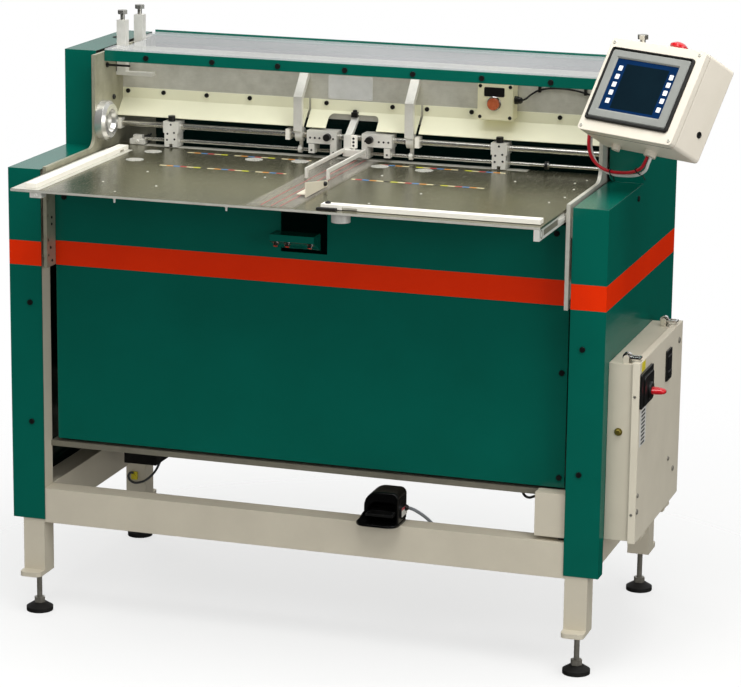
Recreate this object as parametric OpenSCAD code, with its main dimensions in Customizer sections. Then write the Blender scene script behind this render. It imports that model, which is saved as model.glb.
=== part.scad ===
// Case making machine for bookbinding: floor frame, side towers, sliding vacuum table,
// laying gear with stops and spine gauge, swivelling console, control cabinet, foot switch.
// Millimetres. X to the right, Y to the back, Z up, feet on Z = 0.

/* [Overall] */
// Width over the two side covers
machine_w = 1340; // [1280:10:1400]
// Depth of the side covers from front to back
machine_d = 655; // [650:5:700]
// Height of the table top above the floor
work_h = 1007; // [970:1:1040]
// Height of the rear towers above the table top
tower_rise = 223; // [215:1:250]
// Set-back of the tower fronts behind the cover fronts
tower_y = 316; // [300:2:324]
// Width of each side cover
cover_w = 76; // [72:1:84]
// Height of the lower edge of the side covers
cover_low = 222; // [200:1:250]
// Depth of the folds that run down the front and back edges of the covers
cover_fold = 38; // [30:1:46]
// Thickness of bent sheet covers and panels
sheet = 2; // [1.5:0.5:2.5]

/* [Frame] */
// Side of the square leg tube
tube = 50; // [45:1:55]
// Wall of the frame tubes
tube_wall = 3; // [2:0.5:4]
// Height of the lower rails
rail_h = 78; // [60:1:90]
// Height of the underside of the lower rails
rail_z = 215; // [190:1:230]
// How far the foot tabs stand out from the legs
tab_out = 30; // [20:1:36]
// Thickness of the foot plates
plate_t = 10; // [8:1:14]
// Height of the underside of the foot plates
plate_z = 93; // [80:1:110]
// Diameter of the levelling screws
stem_d = 12; // [10:1:16]
// Diameter of the foot pads
pad_d = 60; // [50:1:80]
// Height of the foot pads
pad_h = 18; // [14:1:24]

/* [Cheeks] */
// Thickness of the cheek plates
cheek_t = 8; // [6:1:10]
// Gap between a cheek plate and the side cover
cheek_gap = 6; // [4:1:8]
// Height of the lower edge of the cheek plates below the table top
cheek_drop = 211; // [200:1:240]

/* [Table] */
// How far the table stands out in front of the covers
table_out = 195; // [180:1:210]
// Depth of the table plate
table_d = 615; // [590:1:625]
// Thickness of the table plate
table_t = 5; // [4:0.5:6]
// Gap between the table and each cheek
table_side = 4; // [3:0.5:5]
// Diameter of the suction discs
disc_d = 40; // [34:1:44]
// Width of the hold-down bars
hold_w = 24; // [20:1:28]
// Thickness of the hold-down bars
hold_t = 10; // [8:1:12]
// Diameter of the hold-down piston rods
piston_d = 10; // [8:1:12]

/* [Laying gear] */
// Diameter of the upper shaft
shaft_d = 14; // [12:1:16]
// Height of the upper shaft above the table
shaft_up = 47; // [46:0.5:49]
// Distance of the upper shaft from the cover fronts
shaft_y = 408; // [406:1:410]
// Diameter of the lower guide rod
rod_d = 8; // [6:1:9]
// Height of the lower guide rod above the table
rod_up = 14; // [13:0.5:15]
// Width of the outer stop blocks
stop_w = 37; // [32:1:42]
// Width of the spine blocks
spine_w = 70; // [64:1:72]
// Distance of the back wall from the cover fronts
wall_y = 439; // [438:1:444]
// Diameter of the clamping knobs
knob_d = 16; // [14:1:17]

/* [Console] */
// Width of the console box
con_w = 268; // [250:1:280]
// Height of the console face
con_h = 209; // [195:1:215]
// Thickness of the console box
con_t = 96; // [86:1:100]
// Yaw of the console towards the middle of the machine
con_yaw = 31; // [28:1:34]
// Backward tilt of the console face
con_tilt = 29.5; // [28:0.5:31]
// Diameter of the emergency stop knob
estop_d = 40; // [36:1:44]

/* [Cabinet and switches] */
// Depth of the control cabinet along the machine side
cab_d = 412; // [380:1:430]
// Height of the control cabinet
cab_h = 383; // [350:1:400]
// Thickness of the cabinet body
cab_t = 51; // [45:1:60]
// Thickness of the cabinet door
door_t = 16; // [14:1:20]
// Side of the square push-button box
box_w = 80; // [72:1:85]
// Width of the foot switch
foot_w = 78; // [72:1:86]

/* [Clearances] */
// Gap between neighbouring pieces
gap = 0.3; // [0.2:0.05:0.4]
// Radial clearance of running fits
run = 0.05; // [0.03:0.01:0.08]

/* [Hidden] */
$fn = 48;

// Main planes derived from the sizes above
hw = machine_w / 2;
cin = hw - cover_w;
cheek_in = cin - cheek_gap - cheek_t;
leg_c = cin + 3 + tube / 2;
leg_in = leg_c - tube / 2;
tab_r = 12;
leg_yf = sheet + gap + tube / 2;
leg_yr = machine_d - sheet - gap - tube / 2;
step_h = work_h + 6;
tower_h = work_h + tower_rise;
cheek_d = machine_d - 15;
cheek_step = tower_y - 41;
cheek_top = tower_h - 4;
cheek_r = 28;
cheek_holes = [60, 96, 150, 184];
cheek_hole = 7;
side_low = rail_z + rail_h + 5;

// Table
t_hw = cheek_in - table_side;
t_z = work_h - table_t;
t_yf = -table_out;
t_yr = table_d - table_out;
discs = [[-462, 327], [-462, 218], [-216, 315], [-112, 329], [72, 335], [177, 324]];
disc_in = 2.2;
disc_out = 0.6;
rail_in = t_hw - 14;
rail_out = t_hw - 2;
rail_top = t_z - gap;
rail_low = t_z - 24;
rail_mid = (rail_low + rail_top) / 2;
rail_tongue = 3;
rail_back = t_yf + 150;
vbox_x = 490;
vbox_y = 75;
vbox_h = 44;
strip_x = [-50, 52];
strip_t = 3;
strip_top = work_h + gap + strip_t;
lbar_x = -t_hw + 41;
lbar_y = [t_yf + 15, t_yf + 525];
lbar_piston = lbar_y[1] - 12;
fbar_y = t_yf + 34;
fbar_x = [106, t_hw - 6];
fbar_piston = fbar_x[0] + 40;
hold_z = work_h + 1;
cyl_d = 40;
cyl_z = t_z - 21;
piston_z = t_z - 16;

// Laying gear
shaft_z = work_h + shaft_up;
rod_z0 = work_h + rod_up;
block_y = [shaft_y - 22, shaft_y + 16];
stop_z = [work_h + 2, work_h + 60];
stop_lx = lbar_x + 92.5;
stop_rx = t_hw - 247.5;
rod_stop_x = stop_rx + 99.5;
spine_z = [work_h + 5, work_h + 61];
spine_lx = -81.5;
spine_rx = 47.5;
knob_screw = 6;
pin_hole = 4;
stop_holes = [[0, 51], [-8, 30], [8, 33], [-9, 16], [9, 18]];
spine_holes = [[-27, 40], [-16, 40], [-5, 40], [27, 40], [-24, 12], [28, 9]];
knob_h = 12;
stop_knob_y = block_y[0] + 7;
spine_knob_z = work_h + 49;
wall_low = work_h + 81;
guard_top = work_h + 125;
guard_fold = work_h + 101;
guard_run = 34.7;
guard_lip = guard_fold - guard_run;
guard_l = -130;
guard_cl = -124;
guard_cr = 133;
guard_r = 139;
notch_x = [-78, 40];
notch_top = guard_fold - 6;
notch_r = 12;
hang_x = [-138.5, 121.5];
hang_w = 20;
hang_y = [shaft_y - 22, shaft_y - 12];
hang_bend = work_h + 135;
hang_top = work_h + 183;
collar_w = 24;
collar_x = [hang_x[0] - hang_w / 2 - 22, hang_x[1] + hang_w / 2 + 1];
collar_t = 10;
clamp_t = 11;
arm_x = [-26, -10];
gauge_l = [-25, -20];
gauge_r = [24, 29];
gauge_h = 19;
foot_plate = 2;
gauge_z = strip_top + gap + foot_plate + 1.2;
gauge_front = 106;
gauge_back = block_y[0] - 12;

// Covers and panels
panel_y = 45;
panel_z = [400, work_h - 42];
panel_hw = cheek_in - gap;
panel_notch = [-57, 48, work_h - 143];
panel_lip = 18;
panel_seam = work_h - 213;
panel_step = 2.5;
tray_z = [381, 393];
bar_y = tower_y + 14;
bar_h = 24;
post_w = 21;
post_x = -cheek_in + 13;
post_ys = [408, 511];
post_z = [work_h + 158, work_h + 283];
post_foot = 8;
post_reach = 64;
post_screw = 10;
disc_r = 45;
bolt_af = 20;
head_d = 12;
head_t = 3;
cover_screws = [446, 716];
lower_in = 12;
upper_in = [22, 30];
upper_down = 60;
panel_screw_z = [422, 650];
guard_screws = [-cheek_in + 14, -479, -374, -270, -87, 68, 148, 251, 452];
rail_screws = [-479, -321, -166, -10, 146, 302, 456];
rear_y = cheek_d + gap + sheet;
rear_screw_x = cin - 24;
rear_screw_z = [450, 800, 1150];

// Console pose, from the middle of the lower front edge of its face
con_x = hw - 1.3;
con_y = 105;
con_z = work_h + 141.3;
piv_x = hw - 21;
piv_y = tower_y + 40;
piv_d = 12;
con_wall = 3;
con_r = 8;
lug_z = [tower_h + 8, tower_h + 74];
screen = [-123, 113, 24, 189];
estop_at = [16, 40];
gland_x = 26;
gland_y = 69;
estop_stem = 16;
estop_lift = 7;

// Cabinet and switches
cab_x = [hw + gap, hw + gap + cab_t];
cab_y = [40, 40 + cab_d];
cab_z = [300, 300 + cab_h];
door_x = [cab_x[1] + gap, cab_x[1] + gap + door_t];
door_over = 4;
hinge_x = door_x[0] + 7.4;
hinge_z = cab_z[0] - 12;
hinge_pin = 6;
hinge_ys = [cab_y[0] + 70, cab_y[1] - 112];
hinge_w = 40;
latch_ys = [cab_y[0] + 2, cab_y[1] - 53];
latch_w = 30;
latch_ear = 3;
latch_pin = 5;
latch_x = cab_x[1] - 16;
latch_z = cab_z[1] + 12;
latch_eye = 20;
sw_y = cab_y[0] + 60;
sw_z = cab_z[1] - 67;
sw_stem = 12;
grip_l = 50;
grip_t = 15;
box_c = 316;
box_x = [box_c - box_w / 2, box_c + box_w / 2];
box_y = [wall_y - 47, wall_y - sheet - 2 * gap];
box_z = [work_h + 110, work_h + 110 + box_w];
btn_x = box_c - 2;
btn_z = box_z[0] + 36;
btn_stem = 16;
foot_c = 192;
foot_x = [foot_c - foot_w / 2, foot_c + foot_w / 2];
foot_y = [-30, 61];
foot_wing = 16;
foot_r = 18;
foot_z = rail_z + rail_h + gap;
foot_h = 74;
foot_base = 11;
foot_wall = 7;
ped_y = 41;
ped_z = foot_z + 24;
ped_pin = 6;
jb_x = [leg_in - gap - 70, leg_in - gap];
jb_y = [8, 44];
jb_z = [302, 397];
valve_x = [-67, 33];
valve_z = [work_h - 135, work_h - 112, work_h - 98];
vac_x = [-560, -480];
vac_y = [380, 480];
vac_z = 255;

// Routes of the flexible lines, round tubes through hand-chosen points
hose_d = [7, 6.5];
hose_red_run = [[44.5, 140.5, 96.2], [42, 136, 88], [33, 140, 73], [14, 156, 61], [-14, 177, 53],
    [-44, 192, 50], [-70, 199, 58], [-88, 203, 75], [-97, 208, 97], [-100, 220, 121],
    [-103, 245, 143], [-107, 280, 157], [-108, 306, 161], [-106, 321, 161], [-101, 330, 161]];
hose_red = concat([for (p = hose_red_run) [hw + p[0], p[1], work_h + p[2]]],
    [[cheek_in - gap, 330, work_h + 161]]);
hose_grey_run = [[53, 135.5, 96.2], [51, 132, 86], [42, 141, 67], [21, 160, 53], [-10, 184, 45],
    [-42, 200, 43], [-68, 208, 52], [-85, 212, 71], [-94, 217, 94], [-97, 229, 117],
    [-100, 254, 137], [-103, 288, 148], [-105, 310, 149], [-103, 325, 149], [-99, 332, 149]];
hose_grey = concat([for (p = hose_grey_run) [hw + p[0], p[1], work_h + p[2]]],
    [[cheek_in - gap, 332, work_h + 149]]);
cable_d = 7;
cable_y = 44;
cable_z = foot_z + 29;
cable_run = [[20, 44, 29], [34, 54, 15], [45, 62, 3], [54, 65, -6], [76, 67, -30], [110, 68, -48],
    [154, 69, -58], [200, 69, -61], [246, 69, -58], [286, 68, -46], [314, 66, -21],
    [327, 63, 7], [330, 60, 27], [330, 54, 38]];
cable_pts = concat([[foot_x[1] + 7.3, cable_y, cable_z]],
    [for (p = cable_run) [foot_x[1] + p[0], p[1], foot_z + p[2]]],
    [[foot_x[1] + 330, jb_y[1] + gap, foot_z + 38]]);

// Everything is shifted so that the bottom centre of the bounding box is the origin
x_hi = con_x + cos(con_yaw) * (con_w / 2 - con_r) + con_r * norm([cos(con_yaw), sin(con_yaw) * sin(con_tilt)])
    + sin(con_yaw) * (cos(con_tilt) * con_t + sin(con_tilt) * (con_h - con_r));
y_hi = max(machine_d, leg_yr + tube / 2 + tab_out);
org = [-(x_hi - hw) / 2, -(y_hi + t_yf) / 2, 0];

c_green = [0, 0.32, 0.29];
c_beige = [0.71, 0.68, 0.6];
c_cream = [0.9, 0.88, 0.82];
c_alu = [0.75, 0.75, 0.74];
c_steel = [0.6, 0.6, 0.58];
c_black = [0.05, 0.05, 0.05];
c_white = [0.93, 0.93, 0.9];
c_red = [0.75, 0.05, 0.05];
c_clear = [0.85, 0.9, 0.9];

module at() {
    translate(org) children();
}

module side(s) {
    if (s > 0) children();
    else mirror([1, 0, 0]) children();
}

module bar(x, y, z) {
    translate([x[0], y[0], z[0]]) cube([x[1] - x[0], y[1] - y[0], z[1] - z[0]]);
}

module rod_x(x, y, z, d) {
    translate([x[0], y, z]) rotate([0, 90, 0]) cylinder(d = d, h = x[1] - x[0]);
}

module rod_y(x, y, z, d) {
    translate([x, y[1], z]) rotate([90, 0, 0]) cylinder(d = d, h = y[1] - y[0]);
}

module rod_z(x, y, z, d) {
    translate([x, y, z[0]]) cylinder(d = d, h = z[1] - z[0]);
}

// Outline in Y and Z drawn out along X
module prism_x(x, pts) {
    translate([x[0], 0, 0]) rotate([90, 0, 90]) linear_extrude(x[1] - x[0]) polygon(pts);
}

// Outline in X and Z drawn out along Y
module prism_y(y, pts) {
    translate([0, y[1], 0]) rotate([90, 0, 0]) linear_extrude(y[1] - y[0]) polygon(pts);
}

module hex_z(x, y, z, af) {
    translate([x, y, z[0]]) linear_extrude(z[1] - z[0]) circle(r = af / sqrt(3), $fn = 6);
}

// Box with rounded upright edges
module round_bar(x, y, z, r) {
    bar([x[0] + r, x[1] - r], y, z);
    bar(x, [y[0] + r, y[1] - r], z);
    for (cx = [x[0] + r, x[1] - r], cy = [y[0] + r, y[1] - r]) rod_z(cx, cy, z, 2 * r);
}

// Box with rounded edges along Y
module round_slab(x, y, z, r) {
    bar([x[0] + r, x[1] - r], y, z);
    bar(x, y, [z[0] + r, z[1] - r]);
    for (cx = [x[0] + r, x[1] - r], cz = [z[0] + r, z[1] - r]) rod_y(cx, y, cz, 2 * r);
}

// Tube swept along points, a ring of eight corners at each point
function unit(v) = v / norm(v);
function along(p, i) = unit(p[min(i + 1, len(p) - 1)] - p[max(i - 1, 0)]);
function aside(t) = unit(cross(t, abs(t[2]) > 0.9 ? [1, 0, 0] : [0, 0, 1]));
function ring(p, i, r) = [for (k = [0:7]) let (t = along(p, i), u = aside(t), w = cross(t, u))
    p[i] + r * (cos(45 * k) * u + sin(45 * k) * w)];
function rings(p, r) = [for (i = [0:len(p) - 1]) each ring(p, i, r)];
function walls(n) = [for (i = [0:n - 2], k = [0:7])
    [8 * i + k, 8 * i + (k + 1) % 8, 8 * i + 8 + (k + 1) % 8, 8 * i + 8 + k]];

module hose(p, d) {
    n = len(p);
    polyhedron(points = rings(p, d / 2), faces = concat(walls(n), [[for (k = [7:-1:0]) k]],
        [[for (k = [0:7]) 8 * (n - 1) + k]]));
}

// Frame

// Leg tube on a foot plate whose rounded tab points to the front (-1) or the back (+1)
module leg(x, y, top, dir) {
    difference() {
        union() {
            bar([x - tube / 2, x + tube / 2], [y - tube / 2, y + tube / 2], [plate_z, top]);
            translate([0, y, 0]) mirror([0, dir > 0 ? 1 : 0, 0])
                round_bar([x - tube / 2, x + tube / 2], [-tube / 2 - tab_out, tube / 2 - 1],
                    [plate_z, plate_z + plate_t], tab_r);
        }
        bar([x - tube / 2 + tube_wall, x + tube / 2 - tube_wall],
            [y - tube / 2 + tube_wall, y + tube / 2 - tube_wall], [plate_z + plate_t, top + 1]);
        rod_z(x, y, [plate_z - 1, plate_z + plate_t + 1], stem_d + 2 * gap);
    }
}

module frame_legs() color(c_beige) at() for (s = [-1, 1]) {
    leg(s * leg_c, leg_yf, step_h - sheet - gap, -1);
    leg(s * leg_c, leg_yr, tower_h - sheet - gap, 1);
}

module rail_tube_x(y) {
    difference() {
        bar([-leg_in + gap, leg_in - gap], [y - tube / 2, y + tube / 2], [rail_z, rail_z + rail_h]);
        bar([-leg_in, leg_in], [y - tube / 2 + tube_wall, y + tube / 2 - tube_wall],
            [rail_z + tube_wall, rail_z + rail_h - tube_wall]);
    }
}

module rail_tube_y(x) {
    difference() {
        bar([x - tube / 2, x + tube / 2], [leg_yf + tube / 2 + gap, leg_yr - tube / 2 - gap],
            [rail_z, rail_z + rail_h]);
        bar([x - tube / 2 + tube_wall, x + tube / 2 - tube_wall], [leg_yf, leg_yr],
            [rail_z + tube_wall, rail_z + rail_h - tube_wall]);
    }
}

module frame_rails() color(c_beige) at() {
    rail_tube_x(leg_yf);
    rail_tube_x(leg_yr);
    rail_tube_y(-leg_c);
    rail_tube_y(leg_c);
}

module level_screws() color(c_steel) at() for (s = [-1, 1], y = [leg_yf, leg_yr]) {
    rod_z(s * leg_c, y, [pad_h - 8 + gap, plate_z + plate_t + 50], stem_d);
    hex_z(s * leg_c, y, [pad_h + gap, pad_h + gap + 12], stem_d + 10);
}

module foot_pads() color(c_black) at() for (s = [-1, 1], y = [leg_yf, leg_yr])
    translate([s * leg_c, y, 0]) rotate_extrude() polygon([[0, 0], [pad_d / 2, 0], [pad_d / 2, pad_h / 2],
        [stem_d + 4, pad_h], [stem_d / 2 + gap, pad_h], [stem_d / 2 + gap, pad_h - 8], [0, pad_h - 8]]);

// Cheek plates and covers

module cheek() {
    difference() {
        union() {
            prism_x([cheek_in, cheek_in + cheek_t], [[0, work_h - cheek_drop], [cheek_d, work_h - cheek_drop],
                [cheek_d, cheek_top], [cheek_step, cheek_top], [cheek_step, work_h + 12], [0, work_h + 12]]);
            // Rounded corner between step and tower
            difference() {
                bar([cheek_in, cheek_in + cheek_t], [cheek_step - cheek_r, cheek_step + 1],
                    [work_h + 11, work_h + 12 + cheek_r]);
                rod_x([cheek_in - 1, cheek_in + cheek_t + 1], cheek_step - cheek_r, work_h + 12 + cheek_r,
                    2 * cheek_r);
            }
            for (z = [work_h - 190, work_h - 60])
                bar([cheek_in + cheek_t / 2, leg_in - gap], [leg_yf - 15, leg_yf + 15], [z, z + 40]);
            for (z = [work_h - 190, work_h + 130])
                bar([cheek_in + cheek_t / 2, leg_in - gap], [leg_yr - 15, cheek_d], [z, z + 40]);
        }
        for (z = cheek_holes) rod_x([cheek_in - 1, cheek_in + cheek_t + 1], 8, work_h - z, cheek_hole);
    }
}

module left_cheek() color(c_beige) at() side(-1) cheek();

module right_cheek() color(c_beige) at() side(1) cheek();

module cover() {
    difference() {
        prism_x([cin, hw], [[0, cover_low], [0, step_h], [tower_y, step_h], [tower_y, tower_h],
            [machine_d, tower_h], [machine_d, cover_low]]);
        prism_x([cin - 1, hw - sheet], [[sheet, cover_low - 1], [sheet, step_h - sheet],
            [tower_y + sheet, step_h - sheet], [tower_y + sheet, tower_h - sheet],
            [machine_d - sheet, tower_h - sheet], [machine_d - sheet, cover_low - 1]]);
        // Open lower side between the front and back folds
        bar([cin - 1, hw + 1], [cover_fold, machine_d - cover_fold], [cover_low - 1, side_low]);
        // Rounded lower inner corner of the tower front
        difference() {
            bar([cin - 1, cin + 12], [tower_y - 1, tower_y + sheet + 0.01], [step_h, step_h + 12]);
            rod_y(cin + 12, [tower_y - 2, tower_y + sheet + 1], step_h + 12, 24);
        }
    }
}

module left_cover() color(c_green) at() side(-1) cover();

module right_cover() color(c_green) at() difference() {
    cover();
    rod_z(piv_x, piv_y, [tower_h - sheet - 1, tower_h + 1], piv_d + 2 * gap);
}

module front_panel() color(c_green) at() difference() {
    union() {
        bar([-panel_hw, panel_hw], [panel_y, panel_y + panel_lip], [panel_seam, panel_z[1]]);
        bar([-panel_hw, panel_hw], [panel_y + panel_step, panel_y + panel_lip], [panel_z[0], panel_seam + 1]);
    }
    bar([-panel_hw + sheet, panel_hw - sheet], [panel_y + panel_step + sheet, panel_y + panel_lip + 1],
        [panel_z[0] + sheet, panel_z[1] - sheet]);
    bar([panel_notch[0], panel_notch[1]], [panel_y - 1, panel_y + panel_lip + 1],
        [panel_notch[2], panel_z[1] + 1]);
}

module rear_panel() color(c_green) at()
    bar([-cin + gap, cin - gap], [cheek_d + gap, cheek_d + gap + sheet], [tray_z[1] + 5, cheek_top]);

module floor_tray() color(c_steel) at() difference() {
    bar([-leg_in + gap, leg_in - gap], [46, cheek_d - 4], tray_z);
    bar([-leg_in + gap + sheet, leg_in - gap - sheet], [46 + sheet, cheek_d - 4 - sheet],
        [tray_z[0] - 1, tray_z[1] - sheet]);
}

module top_rails() color(c_green) at() {
    prism_x([-cheek_in + gap, cheek_in - gap], [[bar_y, tower_h - bar_h], [bar_y + sheet, tower_h - bar_h],
        [bar_y + sheet, tower_h - sheet], [bar_y + 28, tower_h - sheet], [bar_y + 28, tower_h],
        [bar_y, tower_h]]);
    prism_x([-cheek_in + gap, cheek_in - gap], [[cheek_d - 28, tower_h - sheet],
        [cheek_d - sheet, tower_h - sheet], [cheek_d - sheet, tower_h - bar_h],
        [cheek_d, tower_h - bar_h], [cheek_d, tower_h + 8], [cheek_d - sheet, tower_h + 8],
        [cheek_d - sheet, tower_h], [cheek_d - 28, tower_h]]);
}

module top_sheet() color(c_clear, 0.5) at() difference() {
    bar([-cheek_in + gap, cheek_in - gap], [bar_y + 2, cheek_d - sheet - gap],
        [tower_h + gap, tower_h + gap + 3]);
    bar([-cheek_in - 1, post_x + post_w / 2 + 4], [post_ys[0] - post_w / 2 - 4, post_ys[1] + post_w / 2 + 4],
        [tower_h - 1, tower_h + 10]);
}

module back_wall() color(c_alu) at()
    bar([-cheek_in + gap, cheek_in - gap], [wall_y, wall_y + sheet], [wall_low, tower_h - sheet - gap]);

function guard_pts(y1) = [[y1 - sheet, guard_top], [y1 - sheet, guard_fold],
    [y1 - sheet - guard_run, guard_lip], [y1 - sheet - guard_run + 1.4, guard_lip - 1.4],
    [y1, guard_fold - 0.8], [y1, guard_top]];

module guards() color(c_cream) at() {
    prism_x([-cheek_in + gap, guard_l], guard_pts(wall_y - gap));
    prism_x([guard_r, cheek_in - gap], guard_pts(wall_y - gap));
    difference() {
        prism_x([guard_cl, guard_cr], guard_pts(wall_y - gap));
        bar([notch_x[0] + notch_r, notch_x[1] - notch_r], [wall_y - 60, wall_y], [guard_lip - 9, notch_top]);
        bar(notch_x, [wall_y - 60, wall_y], [guard_lip - 9, notch_top - notch_r]);
        for (x = [notch_x[0] + notch_r, notch_x[1] - notch_r])
            rod_y(x, [wall_y - 60, wall_y], notch_top - notch_r, 2 * notch_r);
    }
}

module panel_screws() color(c_black) at() {
    for (s = [-1, 1], z = cover_screws) rod_y(s * leg_c, [-head_t - 0.1, -0.1], z, head_d);
    for (x = [-panel_hw + upper_in[0], panel_hw - upper_in[1]])
        rod_y(x, [panel_y - head_t - 0.1, panel_y - 0.1], work_h - upper_down, head_d);
    for (z = panel_screw_z)
        rod_y(panel_hw - lower_in, [panel_y + panel_step - head_t - 0.1, panel_y + panel_step - 0.1], z,
            head_d);
    for (s = [-1, 1], z = rear_screw_z)
        rod_y(s * rear_screw_x, [rear_y + 0.1, rear_y + 0.1 + head_t], z, head_d);
    for (x = guard_screws)
        rod_y(x, [wall_y - gap - sheet - head_t - 0.1, wall_y - gap - sheet - 0.1], guard_top - 8, head_d - 2);
    for (x = rail_screws)
        rod_y(x, [bar_y - head_t - 0.1, bar_y - 0.1], tower_h - 13, head_d);
    rod_x([hw + 0.1, hw + 0.1 + head_t], tower_y - 50, step_h - 24, head_d);
}

// Adjusting posts on the left cheek

module adjust_posts() color(c_alu) at() for (y = post_ys) difference() {
    union() {
        bar([post_x - post_w / 2, post_x + post_w / 2], [y - post_w / 2, y + post_w / 2], post_z);
        bar([-cheek_in + gap, post_x + post_w / 2 + post_reach], [y - post_w / 2, y + post_w / 2],
            [post_z[0], post_z[0] + post_foot]);
    }
    rod_z(post_x, y, [post_z[1] - 45, post_z[1] + 1], post_screw + 2 * gap);
}

module adjust_screws() color(c_steel) at() for (y = post_ys) {
    rod_z(post_x, y, [post_z[1] - 42, post_z[1] + 14], post_screw);
    hex_z(post_x, y, [post_z[1] + 13, post_z[1] + 22], bolt_af);
}

// Laying gear

module end_disc() color(c_alu) at() translate([-cheek_in + gap, tower_y - 3, work_h + 67]) rotate([0, 90, 0])
    rotate_extrude() polygon([[0, 0], [disc_r, 0], [disc_r, 17], [disc_r - 7, 24], [disc_r - 19, 24],
        [disc_r - 23, 14], [0, 14]]);

module upper_shaft() color(c_steel) at() rod_x([-cheek_in + gap, cheek_in - gap], shaft_y, shaft_z, shaft_d);

module collar(x, z0, holes) {
    difference() {
        bar(x, [shaft_y - collar_w / 2, shaft_y + collar_w / 2], [z0, shaft_z + collar_w / 2]);
        rod_x([x[0] - 1, x[1] + 1], shaft_y, shaft_z, shaft_d + 2 * run);
        if (holes > 1) rod_x([x[0] - 1, x[1] + 1], shaft_y, rod_z0, rod_d + 2 * run);
    }
}

module shaft_collars() color(c_white) at() {
    collar([-cheek_in + gap, -cheek_in + gap + clamp_t], shaft_z - collar_w / 2, 1);
    collar([cheek_in - gap - clamp_t, cheek_in - gap], work_h + 4, 2);
    for (x = collar_x) collar([x, x + collar_t], shaft_z - collar_w / 2, 1);
}

module lower_rod() color(c_steel) at() {
    rod_x([stop_lx - stop_w / 2 - 54, cheek_in - gap], shaft_y, rod_z0, rod_d);
    rod_x([rod_stop_x, rod_stop_x + 9], shaft_y, rod_z0, 18);
}

module stop_block(x) {
    difference() {
        union() {
            bar([x - stop_w / 2, x + stop_w / 2], block_y, [work_h + 34, stop_z[1]]);
            bar([x - stop_w / 2 + 3, x + stop_w / 2 - 3], block_y, [stop_z[0], work_h + 35]);
        }
        bar([x - 4, x + 4], [block_y[0] - 1, block_y[1] + 1], [stop_z[0] - 1, stop_z[0] + 7]);
        rod_x([x - stop_w, x + stop_w], shaft_y, shaft_z, shaft_d + 2 * run);
        rod_x([x - stop_w, x + stop_w], shaft_y, rod_z0, rod_d + 2 * run);
        rod_z(x, stop_knob_y, [stop_z[1] - 15, stop_z[1] + 1], knob_screw + 2 * run);
        for (p = stop_holes) rod_y(x + p[0], [block_y[0] - 1, block_y[0] + 3], stop_z[0] + p[1], pin_hole);
    }
}

module stop_left() color(c_alu) at() stop_block(stop_lx);

module stop_right() color(c_alu) at() stop_block(stop_rx);

module stop_knob(x) {
    rod_z(x, stop_knob_y, [stop_z[1] - 14, stop_z[1] + 2], knob_screw);
    rod_z(x, stop_knob_y, [stop_z[1] + 1, stop_z[1] + 1 + knob_h], knob_d);
}

module stop_left_knob() color(c_black) at() stop_knob(stop_lx);

module stop_right_knob() color(c_black) at() stop_knob(stop_rx);

// Spine block; s is +1 with the long leg on the right, -1 on the left
module spine_block(x, s) {
    difference() {
        union() {
            bar([x - spine_w / 2, x + spine_w / 2], block_y, [work_h + 32, spine_z[1]]);
            translate([x, 0, 0]) side(s) {
                bar([spine_w / 2 - 15, spine_w / 2], block_y, [spine_z[0], work_h + 33]);
                bar([-spine_w / 2 + 4, -spine_w / 2 + 18], block_y, [spine_z[0] + 5, work_h + 33]);
            }
        }
        rod_x([x - spine_w, x + spine_w], shaft_y, shaft_z, shaft_d + 2 * run);
        rod_x([x - spine_w, x + spine_w], shaft_y, rod_z0, rod_d + 2 * run);
        rod_y(x + s * 15, [block_y[0] - 1, block_y[0] + 12], spine_knob_z, knob_screw + 2 * run);
        for (p = spine_holes)
            rod_y(x + s * p[0], [block_y[0] - 1, block_y[0] + 3], spine_z[0] + p[1], pin_hole);
    }
}

module spine_left() color(c_alu) at() spine_block(spine_lx, 1);

module spine_right() color(c_alu) at() spine_block(spine_rx, -1);

module spine_knob(x) {
    rod_y(x, [block_y[0] - 2, block_y[0] + 11], spine_knob_z, knob_screw);
    rod_y(x, [block_y[0] - 1 - knob_h, block_y[0] - 1], spine_knob_z, knob_d);
}

module spine_left_knob() color(c_black) at() spine_knob(spine_lx + 15);

module spine_right_knob() color(c_black) at() spine_knob(spine_rx - 15);

module hangers() color(c_alu) at() for (x = hang_x) difference() {
    union() {
        prism_x([x - hang_w / 2, x + hang_w / 2], [[hang_y[0], shaft_z + 10], [hang_y[0], hang_bend],
            [wall_y - 10, hang_top], [wall_y - gap, hang_top], [wall_y - gap, hang_top - 12],
            [hang_y[1], hang_bend - 6], [hang_y[1], shaft_z + 10]]);
        rod_x([x - hang_w / 2 + 2, x + hang_w / 2 - 2], shaft_y - 2, shaft_z + 1, shaft_d + 18);
        rod_x([x - 4, x + 4], shaft_y, rod_z0, rod_d + 8);
        bar([x - 4, x + 4], [shaft_y + 4, shaft_y + 8], [rod_z0, shaft_z - 10]);
    }
    rod_x([x - hang_w, x + hang_w], shaft_y, shaft_z, shaft_d + 2 * run);
    rod_x([x - hang_w, x + hang_w], shaft_y, rod_z0, rod_d + 2 * run);
}

module centre_arm() color(c_alu) at() {
    prism_x(arm_x, [[gauge_back, work_h + 23], [gauge_back + 22, work_h + 23], [gauge_back + 22, work_h + 52],
        [wall_y - gap, wall_low + 3], [wall_y - gap, wall_low + 13], [gauge_back + 12, work_h + 59],
        [gauge_back, work_h + 59]]);
    bar([gauge_l[0], gauge_r[1]], [gauge_back - 8, gauge_back + 2], [gauge_z, work_h + 27]);
    for (x = [gauge_l, gauge_r]) bar(x, [gauge_front, gauge_back - 7], [gauge_z, gauge_z + gauge_h]);
}

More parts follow.
